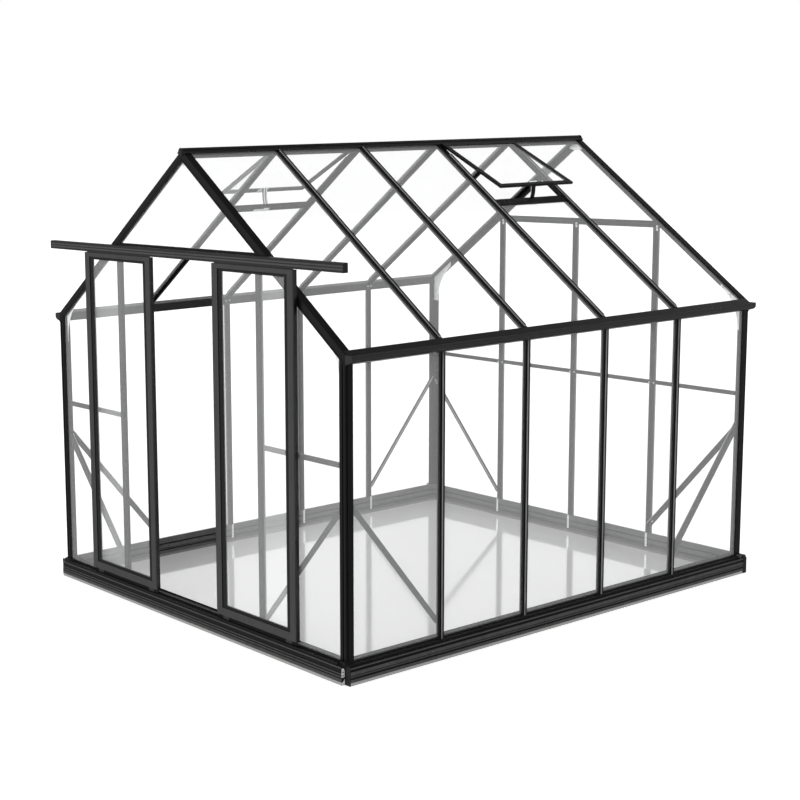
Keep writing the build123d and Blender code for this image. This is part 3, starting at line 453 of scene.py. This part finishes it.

# %% [markdown]
# ## The base
# The base rails wear the same coat of painted highlight and shade bands, but it
# ends above the ground: the lowest strip of the extrusion is painted light grey
# with fine streaks, a thin line all round, and on the inside of the house it is
# painted darker, as painted shade. The height of a point in Object coordinates
# says on which side of that line it lies. Half way up, a thin black line of
# painted shade marks the groove where two ribs of the extrusion meet. The inner
# face is painted paler than the outer one, a painted reflection, apart from its
# two flutes, which are painted shade.

# %% Base coat
BASE_SPECULAR = 0.15
STRIP_TOP = 16.0 * MM
STRIP_EDGE = 0.4 * MM
STRIP_COLOR = (0.38, 0.38, 0.37)
# painted shade: the foot strip inside the house is painted darker
STRIP_SHADED = (0.17, 0.17, 0.165)
STRIP_DARK = 0.85          # darkest streaks, as a share of the strip's colour
STRIP_DEPTH = (0.2, 0.4)   # where the painted shade on the strip sets in, as a share of the bands' span
STRIP_LINES, STRIP_STRETCH = 40.0, (1, 1, 12)
SEAM_AT, SEAM_HALF = 50.0 * MM, 2.0 * MM
# painted shade along the groove half way up the outer face
SEAM_SHADE = (0.001, 0.001, 0.001, 1)
# outer face: the proud faces are painted paler as painted highlight, the recessed ones black as painted
# shade
OUTER_BANDS = ((0.0, 0.062), (2.0, 0.001), (6.0, 0.012))
# painted shade in the two inner flutes, and a painted reflection on the paler inner face
FLUTE_SHADE, INSIDE_SHEEN = 0.0005, 0.085
BACK_INSIDE, SIDE_INSIDE, SILL_INSIDE = (42.6, 45.4), (70.6, 73.4), (65.6, 68.4)


def base_coat(name, outward, node, inside):
    """Coat of painted highlight and shade bands over a light grey foot strip; inside says where the inner
    flutes and face start.
    """
    bands = OUTER_BANDS + ((inside[0], FLUTE_SHADE), (inside[1], INSIDE_SHEEN))
    mat = light_and_shade_coat(name, outward, node, bands, BASE_SPECULAR)
    tree = mat.node_tree
    color = tree.nodes["Principled BSDF"].inputs["Base Color"]
    split = add(tree, "ShaderNodeSeparateXYZ")
    tree.links.new(add(tree, "ShaderNodeTexCoord").outputs["Object"], split.inputs[0])
    # painted shade along the groove half way up
    near = add(tree, "ShaderNodeMath", "COMPARE")
    for socket, value in zip(near.inputs, (split.outputs["Z"], SEAM_AT, SEAM_HALF)):
        feed(tree, socket, value)
    paint = color_mix(tree, near.outputs[0], color.links[0].from_socket, SEAM_SHADE)
    # light grey foot strip with streaks, painted darker inside the house as painted shade
    streaks = noise(tree, STRIP_LINES, 3.0, STRIP_STRETCH)
    outer, inner = (tones(tree, streaks, *shades(c, STRIP_DARK, 1.0)) for c in (STRIP_COLOR, STRIP_SHADED))
    within = remap(tree, depth_in(tree, outward, node), *STRIP_DEPTH, 0.0, 1.0)
    strip = color_mix(tree, within, outer, inner)
    pale = remap(tree, split.outputs["Z"], STRIP_TOP - STRIP_EDGE, STRIP_TOP + STRIP_EDGE, 1.0, 0.0)
    tree.links.new(color_mix(tree, pale, paint, strip), color)
    return mat


side_base = base_coat("side_base_black", SIDEWAYS, "base_right", SIDE_INSIDE)
front_base = base_coat("front_base_black", LENGTHWAYS, "base_front", SILL_INSIDE)
back_base = base_coat("back_base_black", LENGTHWAYS, "base_back", BACK_INSIDE)
print("bare strip up to", round(STRIP_TOP / MM), "mm")

# %% [markdown]
# ## Bare metal, plastic and rubber
# Gussets, cleats and stay rods are mill-finish aluminium. Rolling leaves fine
# lines in it, so the noise is stretched along one axis. Bolts are zinc
# plated: smaller, brighter, and a little spotted. The plastic caps and the
# rubber of the door gaskets are matt and very dark.

# %% Bare metal
ROLLED_LINES, ROLLED_STRETCH = 60.0, (1, 1, 14)
ZINC_SPOTS = 500.0


def mill_aluminium():
    """Rolled aluminium, as it leaves the mill."""
    mat, tree, shader = new_material("mill_aluminium", (0.88, 0.89, 0.90), 0.42, metal=0.25)
    lines = noise(tree, ROLLED_LINES, 4.0, ROLLED_STRETCH)
    tree.links.new(tones(tree, lines, (0.84, 0.85, 0.86), (0.95, 0.96, 0.96)), shader.inputs["Base Color"])
    tree.links.new(drifting(tree, lines, 0.36, 0.50), shader.inputs["Roughness"])
    bump(tree, shader, lines, 0.1, 0.05 * MM)
    return mat


def zinc():
    """Zinc plating on the bolts."""
    mat, tree, shader = new_material("zinc", (0.62, 0.63, 0.65), 0.34, metal=0.9)
    spots = noise(tree, ZINC_SPOTS, 2.0)
    tree.links.new(tones(tree, spots, (0.55, 0.56, 0.58), (0.74, 0.75, 0.76)), shader.inputs["Base Color"])
    tree.links.new(drifting(tree, spots, 0.28, 0.42), shader.inputs["Roughness"])
    return mat


aluminium = mill_aluminium()
zinc_plate = zinc()
print("metals:", aluminium.name, zinc_plate.name)

# %% Plastic and rubber
PORE_TONES = (0.75, 1.3)   # darkest and lightest pores, as shares of the colour
PORE_ROUGH = 0.06
PORE_STRENGTH = 0.2
MATT_SPECULAR = 0.25


def matt_black(name, color, rough, grain, depth):
    """Black plastic or rubber with fine pores."""
    mat, tree, shader = new_material(name, color, rough, specular=MATT_SPECULAR)
    pores = noise(tree, grain, 3.0)
    tree.links.new(tones(tree, pores, *shades(color, *PORE_TONES)), shader.inputs["Base Color"])
    tree.links.new(drifting(tree, pores, rough - PORE_ROUGH, rough + PORE_ROUGH), shader.inputs["Roughness"])
    bump(tree, shader, pores, PORE_STRENGTH, depth)
    return mat


cap_plastic = matt_black("cap_plastic", (0.007, 0.007, 0.007), 0.55, 700.0, 0.05 * MM)
rubber = matt_black("rubber", (0.009, 0.009, 0.009), 0.75, 400.0, 0.1 * MM)
print("matt blacks:", cap_plastic.name, rubber.name)

# %% [markdown]
# ## Glass
# A thin pane hardly bends light, so full refraction would only cost noise.
# What the eye sees is a pale veil: the pane mirrors the white room a little,
# which greys everything dark behind it and leaves white as it is. So the
# pane is a mostly clear surface with a near-white colour of its own, and the
# white of the room that it mirrors is a painted reflection: the pane glows.
# Each pane has two faces, and both add their part of the veil. A faint drift
# in the veil and the gloss stands for the film that washing leaves.

# %% Glass
VEIL = 0.090               # share of one face that isn't clear
VEIL_DRIFT = 0.008
GLASS_REFLECTION_GLOW = 0.22          # painted reflection: the white of the room, added as a glow of the pane
GLASS_TINT = (0.97, 0.985, 0.98)
FILM_SCALE, FILM_STRETCH = 1.7, (1, 1, 0.4)
FILM_ROUGH = (0.05, 0.13)


def clear_glass(name):
    """Clear pane with a pale veil and a glow that paints the room's reflection."""
    mat, tree, shader = new_material(name, GLASS_TINT, 0.08)
    # painted reflection: the pane glows with the white of the room
    shader.inputs["Emission Color"].default_value = WHITE
    shader.inputs["Emission Strength"].default_value = GLASS_REFLECTION_GLOW
    film = noise(tree, FILM_SCALE, 5.0, FILM_STRETCH)
    tree.links.new(drifting(tree, film, VEIL - VEIL_DRIFT, VEIL + VEIL_DRIFT), shader.inputs["Alpha"])
    tree.links.new(drifting(tree, film, *FILM_ROUGH), shader.inputs["Roughness"])
    return mat


wall_glass = clear_glass("clear_glass")
roof_glass = clear_glass("roof_clear_glass")
print("veil of a whole pane:", round(1 - (1 - VEIL) ** 2, 3))

# %% [markdown]
# ## Dress the frame
# The record says which slot each piece of the frame belongs to, so a table
# from slot to finish dresses most of them. A second table names the pieces
# whose bands of painted highlight and shade are their own, because their
# outermost faces differ.

# %% Materials on the frame
FINISHES = {
    "frame_black": frame_black,
    "base_black": side_base,
    "door_black": leaf_black,
    "cap_plastic": cap_plastic,
    "mill_aluminium": aluminium,
    "clear_glass": wall_glass,
    "roof_clear_glass": roof_glass,
}
slots = {part["node"]: part["material_slot"] for part in frame["record"]["subparts"]}
own_finish = {
    "ridge_beam": trim_black,
    "side_braces": side_brace_black,
    "gable_braces": gable_brace_black,
    "door_rail": rail_black,
    "base_front": front_base,
    "base_back": back_base,
}
for side in ("left", "right"):
    own_finish["side_bars_" + side] = wall_bar_black
    own_finish["roof_bars_" + side] = roof_bar_black
    own_finish["eave_" + side] = eave_black
for name, obj in nodes.items():
    for k in range(len(obj.data.materials)):
        obj.data.materials[k] = own_finish.get(name, FINISHES[slots[name]])
print("dressed:", len(nodes), "pieces in", len(set(slots.values())), "finishes")

# %% [markdown]
# ## Helpers for new pieces
# Every new piece is made with mesh operators in a bmesh, in place and in
# metres. `keep` turns it into an object that rides on a body. Many nodes of
# the frame hold several solids, so `solids` walks over the joined edges of a
# merged copy and gives the box of each, sorted by place. `edges_of` lists the
# edges for a bevel.

# %% Helpers
SAME_PLACE = 0.01 * MM     # corners closer than this are one


def keep(bm, name, body, mat):
    """Makes a piece of a finished bmesh."""
    bmesh.ops.recalc_face_normals(bm, faces=bm.faces)
    mesh = bpy.data.meshes.new(name)
    bm.to_mesh(mesh)
    bm.free()
    mesh.materials.append(mat)
    piece = bpy.data.objects.new(name, mesh)
    scene.collection.objects.link(piece)
    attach(piece, body)
    print(name, "has", len(mesh.polygons), "faces")
    return piece


def solids(name):
    """Lowest and highest corner of each solid of a node, sorted by place."""
    bm = bmesh.new()
    bm.from_mesh(nodes[name].data)
    bmesh.ops.remove_doubles(bm, verts=bm.verts, dist=SAME_PLACE)
    left = set(bm.verts)
    boxes = []
    while left:
        group, waiting = [], [left.pop()]
        while waiting:
            vert = waiting.pop()
            group.append(vert.co.copy())
            near = {e.other_vert(vert) for e in vert.link_edges} & left
            left -= near
            waiting.extend(near)
        axes = list(zip(*group))
        boxes.append((Vector([min(axis) for axis in axes]), Vector([max(axis) for axis in axes])))
    bm.free()
    return sorted(boxes, key=lambda box: tuple(box[0]))


def edges_of(verts):
    """Edges at some corners, each once."""
    return list(dict.fromkeys(e for v in verts for e in v.link_edges))


def facing(place, axis):
    """Matrix that stands local Z on the axis at a place."""
    return Matrix.Translation(place) @ Vector(axis).to_track_quat("Z", "Y").to_matrix().to_4x4()


print("solids in the gable braces:", len(solids("gable_braces")))

# %% [markdown]
# ## Door gaskets
# Each pane of the sliding doors is held by a black rubber gasket that covers
# the bead, on both faces of the leaf. It is a flat ring with a rounded lip.
# Two rectangles are drawn, bridged into a ring, and extruded to the thickness.

# %% Gaskets
GASKET_SIDE = 28.0 * MM    # width beside the glass
GASKET_END = 15.0 * MM     # width over and under the glass
GASKET_T = 1.2 * MM
GASKET_LIP = 7.6 * MM      # the pane reaches this far behind the gasket
BEAD_T = 3.0 * MM
EDGE_ROUND = 0.5 * MM
SHARP = 1.0                # edges that turn by more than this, in radians, get rounded


def loop(bm, low, high, y):
    """Closed rectangle of edges at depth y."""
    corners = ((low[0], low[1]), (high[0], low[1]), (high[0], high[1]), (low[0], high[1]))
    verts = [bm.verts.new((x, y, z)) for x, z in corners]
    return [bm.edges.new((verts[k], verts[(k + 1) % 4])) for k in range(4)]


def flat_ring(bm, outer, inner, y, depth):
    """Ring between two rectangles in X and Z, extruded from y by depth."""
    edges = loop(bm, *outer, y) + loop(bm, *inner, y)
    faces = bmesh.ops.bridge_loops(bm, edges=edges)["faces"]
    grown = bmesh.ops.extrude_face_region(bm, geom=faces)["geom"]
    verts = [g for g in grown if isinstance(g, bmesh.types.BMVert)]
    bmesh.ops.translate(bm, verts=verts, vec=(0, depth, 0))
    rim = [e for e in edges_of(verts) if all(v in verts for v in e.verts) and len(e.link_faces) == 2]
    sharp = [e for e in rim if e.calc_face_angle(0) > SHARP]
    bmesh.ops.bevel(bm, geom=sharp, offset=EDGE_ROUND, segments=2, profile=0.5,
                    affect="EDGES", material=-1)


for side in ("left", "right"):
    low, high = (Vector(c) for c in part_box("door_%s_glass" % side))
    inner = ((low.x + GASKET_LIP, low.z + GASKET_LIP), (high.x - GASKET_LIP, high.z - GASKET_LIP))
    outer = ((inner[0][0] - GASKET_SIDE, inner[0][1] - GASKET_END),
             (inner[1][0] + GASKET_SIDE, inner[1][1] + GASKET_END))
    bm = bmesh.new()
    flat_ring(bm, outer, inner, low.y - BEAD_T, -GASKET_T)
    flat_ring(bm, outer, inner, high.y + BEAD_T, GASKET_T)
    keep(bm, "door_%s_gasket" % side, "door_" + side, rubber)

# %% [markdown]
# ## Draught brushes
# A sliding leaf can't touch its sill, so a brush closes the gap under it. It
# is a thin curtain of black bristles that ends just over the two track ribs.
# The bristles are far too fine to model, so the strip is one thin plate, and
# its material draws them: noise that is stretched tall gives each tuft its
# own tone.

# %% Draught brushes
BRUSH_HALF_T = 1.5 * MM
BRUSH_LOW = 106.0 * MM     # just over the track ribs
BRUSH_TUCK = 0.5 * MM      # into the leaf
BRUSH_END_IN = 6.0 * MM
STILE_FOOT = 129.0 * MM    # underside of a leaf
TUFT_SCALE, TUFT_STRETCH = 900.0, (1, 1, 0.03)


def plate(bm, low, high, round_by):
    """Box with its edges rounded."""
    size, middle = high - low, (high + low) / 2
    matrix = Matrix.Translation(middle) @ Matrix.Diagonal(size.to_4d())
    made = bmesh.ops.create_cube(bm, size=1.0, matrix=matrix)
    bmesh.ops.bevel(bm, geom=edges_of(made["verts"]), offset=round_by, segments=2, profile=0.5,
                    affect="EDGES", material=-1)


def bristles():
    """Matt black tufts that stand upright."""
    mat, tree, shader = new_material("bristles", (0.006, 0.006, 0.006), 0.85, specular=0.1)
    tufts = noise(tree, TUFT_SCALE, 2.0, TUFT_STRETCH)
    tree.links.new(tones(tree, tufts, (0.002,) * 3, (0.014,) * 3), shader.inputs["Base Color"])
    bump(tree, shader, tufts, 0.6, 0.3 * MM)
    return mat


bristle = bristles()
for side in ("left", "right"):
    low, high = (Vector(c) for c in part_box("door_%s_frame" % side))
    middle = (low.y + high.y) / 2
    bm = bmesh.new()
    plate(bm, Vector((low.x + BRUSH_END_IN, middle - BRUSH_HALF_T, BRUSH_LOW)),
          Vector((high.x - BRUSH_END_IN, middle + BRUSH_HALF_T, STILE_FOOT + BRUSH_TUCK)), BRUSH_HALF_T / 4)
    keep(bm, "door_%s_brush" % side, "door_" + side, bristle)

# %% [markdown]
# ## Bolts
# The frame is bolted together from inside with square-shouldered bolts and
# small hexagon nuts. One nut is a washer, a six-sided prism with a bevelled
# crown, and the bolt's end. All three come from the cone operator with equal
# radii, and have a few dozen faces together, because there are nearly eighty
# nuts.

# %% Nuts
WASHER_R, WASHER_T = 6.0 * MM, 1.0 * MM
NUT_R, NUT_T = 5.2 * MM, 4.0 * MM
STUD_R, STUD_T = 2.6 * MM, 2.5 * MM
NUT_ROUND = 0.5 * MM
WASHER_SIDES, NUT_SIDES, STUD_SIDES = 10, 6, 8


def disc(bm, matrix, sides, radius, bottom, height):
    """Closed prism or cylinder that stands on local Z from bottom."""
    shift = Matrix.Translation((0, 0, bottom + height / 2))
    return bmesh.ops.create_cone(bm, cap_ends=True, segments=sides, radius1=radius, radius2=radius,
                                 depth=height, matrix=matrix @ shift)["verts"]


def nut(bm, place, axis):
    """Washer, nut and bolt end on a surface, pointing along the axis."""
    matrix = facing(place, axis)
    disc(bm, matrix, WASHER_SIDES, WASHER_R, 0, WASHER_T)
    verts = disc(bm, matrix, NUT_SIDES, NUT_R, WASHER_T, NUT_T)
    top = matrix @ Vector((0, 0, WASHER_T + NUT_T))
    crown = [e for e in edges_of(verts)
             if all((v.co - top).dot(Vector(axis)) > -NUT_ROUND for v in e.verts)]
    bmesh.ops.bevel(bm, geom=crown, offset=NUT_ROUND, segments=1, profile=0.5,
                    affect="EDGES", material=-1)
    disc(bm, matrix, STUD_SIDES, STUD_R, WASHER_T + NUT_T, STUD_T)


print("a nut stands", round((WASHER_T + NUT_T + STUD_T) / MM, 1), "mm off its plate")

# %% [markdown]
# ## Nuts on the plates
# The gussets tie each corner post to its rafter, with two nuts on the post
# and two on the rafter; the plates under the ridge have one on each rafter.
# The places are counted in from the box of each plate, and those on the
# rafter follow its slope, which is measured on the rafter itself.

# %% Nuts on the gussets and apex plates
GUSSET_POST_IN = 14.0 * MM
GUSSET_POST_UP = (20.0 * MM, 70.0 * MM)
GUSSET_ROOF_IN = (18.0 * MM, 66.0 * MM)
GUSSET_ROOF_DROP = 24.0 * MM
APEX_IN = 26.0 * MM
APEX_UP = 26.0 * MM
rafter_low, rafter_high = (Vector(c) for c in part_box("rafter_front_right"))
slope = (rafter_high.z - rafter_low.z) / (rafter_high.x - rafter_low.x)


def inner_face(low, high):
    """Depth and direction of the face of a gable's plate that looks into the house."""
    return (high.y, 1.0) if low.y < 0 else (low.y, -1.0)


bm = bmesh.new()
for low, high in solids("corner_gussets"):
    y, inward = inner_face(low, high)
    wall = high.x if high.x > 0 else low.x
    tip = low.x if high.x > 0 else high.x
    out = math.copysign(1.0, wall)
    for up in GUSSET_POST_UP:
        nut(bm, (wall - out * GUSSET_POST_IN, y, low.z + up), (0, inward, 0))
    for along in GUSSET_ROOF_IN:
        z = high.z - slope * along - GUSSET_ROOF_DROP
        nut(bm, (tip + out * along, y, z), (0, inward, 0))
for low, high in solids("apex_plates"):
    y, inward = inner_face(low, high)
    for out in (-1, 1):
        nut(bm, (out * APEX_IN, y, low.z + APEX_UP), (0, inward, 0))
keep(bm, "plate_nuts", "frame", zinc_plate)

# %% [markdown]
# ## Nuts on the braces and rails
# Braces and mid rails are angles bolted flat against the bars, one nut at
# each end. A brace runs slantwise, so its ends are found on its centre line,
# a small share of its length in from both corners of its box.

# %% Nuts on the braces and mid rails
END_IN = 0.035             # share of a brace's length from its end to the nut
CENTRE_IN = 12.0 * MM
CENTRE_UP = 10.0 * MM
FLAT_T = 3.0 * MM
RAIL_END_IN = 14.0 * MM
RAIL_NUT_UP = 9.0 * MM


def brace_ends(a, b, z0, z1):
    """Two points on a brace's centre line, from its wall end a to its foot b."""
    step = math.copysign(CENTRE_IN, b - a)
    top, foot = Vector((a + step, z1 - CENTRE_UP)), Vector((b - step, z0 + CENTRE_UP))
    return top.lerp(foot, END_IN), foot.lerp(top, END_IN)


def flat_leg(low, high):
    """Depth and direction of the inner side of the flat leg of a gable's angle."""
    return (low.y + FLAT_T, 1.0) if low.y < 0 else (high.y - FLAT_T, -1.0)


bm = bmesh.new()
for low, high in solids("gable_braces"):
    y, inward = flat_leg(low, high)
    wall, foot = (high.x, low.x) if high.x > 0 else (low.x, high.x)
    for x, z in brace_ends(wall, foot, low.z, high.z):
        nut(bm, (x, y, z), (0, inward, 0))
for low, high in solids("side_braces"):
    inward = -1.0 if high.x > 0 else 1.0
    x = (high.x - FLAT_T) if inward < 0 else (low.x + FLAT_T)
    wall, foot = (low.y, high.y) if low.y < 0 else (high.y, low.y)
    for y, z in brace_ends(wall, foot, low.z, high.z):
        nut(bm, (x, y, z), (inward, 0, 0))
for name in ("front_mid_rails", "back_mid_rails"):
    for low, high in solids(name):
        y, inward = flat_leg(low, high)
        for x in (low.x + RAIL_END_IN, high.x - RAIL_END_IN):
            nut(bm, (x, y, low.z + RAIL_NUT_UP), (0, inward, 0))
keep(bm, "brace_nuts", "frame", zinc_plate)

# %% [markdown]
# ## Nuts on the joints
# Each wall bar is bolted to the eave by two nuts, one on each side of its
# web, and each cleat carries one. A cleat is thin in the direction that it
# faces, so the shorter side of its box tells whether it looks sideways or to
# the front.

# %% Nuts on the eaves and cleats
EAVE_NUT_UP = 26.0 * MM
EAVE_NUT_ASIDE = 13.0 * MM
CLEAT_NUT_UP = 0.62        # share of a cleat's height
eave_in, _, eave_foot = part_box("eave_right")[0]

bm = bmesh.new()
for low, high in solids("side_bars_right") + solids("side_bars_left"):
    y = (low.y + high.y) / 2
    inward = -1.0 if high.x > 0 else 1.0
    for aside in (-EAVE_NUT_ASIDE, EAVE_NUT_ASIDE):
        nut(bm, (-inward * eave_in, y + aside, eave_foot + EAVE_NUT_UP), (inward, 0, 0))
for low, high in solids("frame_cleats"):
    middle = (low + high) / 2
    middle.z = low.z + CLEAT_NUT_UP * (high.z - low.z)
    if high.x - low.x < high.y - low.y:
        inward = Vector((-math.copysign(1.0, middle.x), 0, 0))
        middle.x = low.x if middle.x > 0 else high.x
    else:
        inward = Vector((0, -1.0, 0))
        middle.y = low.y
    nut(bm, middle, inward)
keep(bm, "joint_nuts", "frame", zinc_plate)

# %% [markdown]
# ## Screws and plugs
# Each plastic end cap of the base is held by two small screws with low round
# heads. The two open ends of the door rail are closed with plastic plugs: a
# plate with a rounded rim that stands a little proud of the rail.

# %% Screws
SCREW_R, SCREW_T = 3.2 * MM, 0.7 * MM
SOCKET_R = 1.5 * MM
SCREW_SIDES = 12
SCREW_AT = (0.25, 0.78)    # shares of a cap's height


def screw(bm, place, axis):
    """Low round head with a dimple for the driver."""
    axis = Vector(axis)
    verts = disc(bm, facing(place, axis), SCREW_SIDES, SCREW_R, 0, SCREW_T)
    faces = {f for v in verts for f in v.link_faces}
    top = max(faces, key=lambda face: face.calc_center_median().dot(axis))
    bmesh.ops.inset_region(bm, faces=[top], thickness=SCREW_R - SOCKET_R)
    bmesh.ops.translate(bm, verts=top.verts, vec=axis * -SCREW_T / 2)


bm = bmesh.new()
for low, high in solids("base_end_caps"):
    flat = high.x - low.x > high.y - low.y
    for share in SCREW_AT:
        place = (low + high) / 2
        place.z = low.z + share * (high.z - low.z)
        if flat:
            place.y = low.y
            screw(bm, place, (0, -1, 0))
        else:
            out = math.copysign(1.0, place.x)
            place.x = high.x if out > 0 else low.x
            screw(bm, place, (out, 0, 0))
keep(bm, "cap_screws", "frame", cap_plastic)

# %% Rail plugs
PLUG_T = 3.0 * MM
PLUG_IN = 1.0 * MM
PLUG_ROUND = 1.2 * MM
rail_low, rail_high = (Vector(c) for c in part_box("door_rail"))

bm = bmesh.new()
for x in (rail_low.x - PLUG_T, rail_high.x):
    plate(bm, Vector((x, rail_low.y + PLUG_IN, rail_low.z + PLUG_IN)),
          Vector((x + PLUG_T, rail_high.y - PLUG_IN, rail_high.z - PLUG_IN)), PLUG_ROUND)
keep(bm, "rail_plugs", "frame", cap_plastic)

# %% [markdown]
# ## The cut ends of the door sill
# The front sill is sawn off square and stands past the corner caps, so its
# bare section shows beside the near corner: a small nose on top, a double
# chamber under it, and a sloped foot with one chamber. Each is a closed ring
# of bright metal, drawn in Y and Z and given the thickness of a saw cut.

# %% Cut ends
CUT_T = 0.8 * MM
sill_low, sill_high = (Vector(c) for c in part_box("base_front"))
# the rest in millimetres: Y counts in from the sill's face, Z up from the ground
NOSE_Y, NOSE_Z = (3.0, 16.0), (76.0, 85.0)
CHAMBERS = ((40.0, 57.5), (57.5, 75.0))
CHAMBER_Y = (2.0, 20.0)
CHAMBER_WALL = 4.2
FOOT_OUTER = ((3.0, 4.0), (21.0, 4.0), (21.0, 30.0))
FOOT_INNER = ((11.0, 8.0), (17.0, 8.0), (17.0, 18.0))


def cut_ring(bm, outer, inner, x, depth):
    """Ring between two outlines of points in Y (from the sill's face) and Z, in millimetres."""
    edges = []
    for points in (outer, inner):
        verts = [bm.verts.new((x, sill_low.y + a * MM, b * MM)) for a, b in points]
        edges += [bm.edges.new((verts[k], verts[(k + 1) % len(verts)])) for k in range(len(verts))]
    faces = bmesh.ops.bridge_loops(bm, edges=edges)["faces"]
    grown = bmesh.ops.extrude_face_region(bm, geom=faces)["geom"]
    verts = [g for g in grown if isinstance(g, bmesh.types.BMVert)]
    bmesh.ops.translate(bm, verts=verts, vec=(depth, 0, 0))


def rectangle(y0, y1, z0, z1):
    """Four corners in Y and Z."""
    return ((y0, z0), (y1, z0), (y1, z1), (y0, z1))


def narrowed(low, high):
    """A width less the chamber's wall on both sides."""
    return low + CHAMBER_WALL, high - CHAMBER_WALL


bm = bmesh.new()
for x, depth in ((sill_high.x, CUT_T), (sill_low.x, -CUT_T)):
    for chamber_z in CHAMBERS:
        cut_ring(bm, rectangle(*CHAMBER_Y, *chamber_z),
                 rectangle(*narrowed(*CHAMBER_Y), *narrowed(*chamber_z)), x, depth)
    cut_ring(bm, FOOT_OUTER, FOOT_INNER, x, depth)
    nose_x = sorted((x, x + depth))
    low, high = (Vector((nose_x[k], sill_low.y + NOSE_Y[k] * MM, NOSE_Z[k] * MM)) for k in (0, 1))
    plate(bm, low, high, CUT_T / 4)
keep(bm, "sill_cut_ends", "frame", aluminium)

# %% Finish
low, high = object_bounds()
print("visual box:", [round(v, 3) for v in low], [round(v, 3) for v in high])
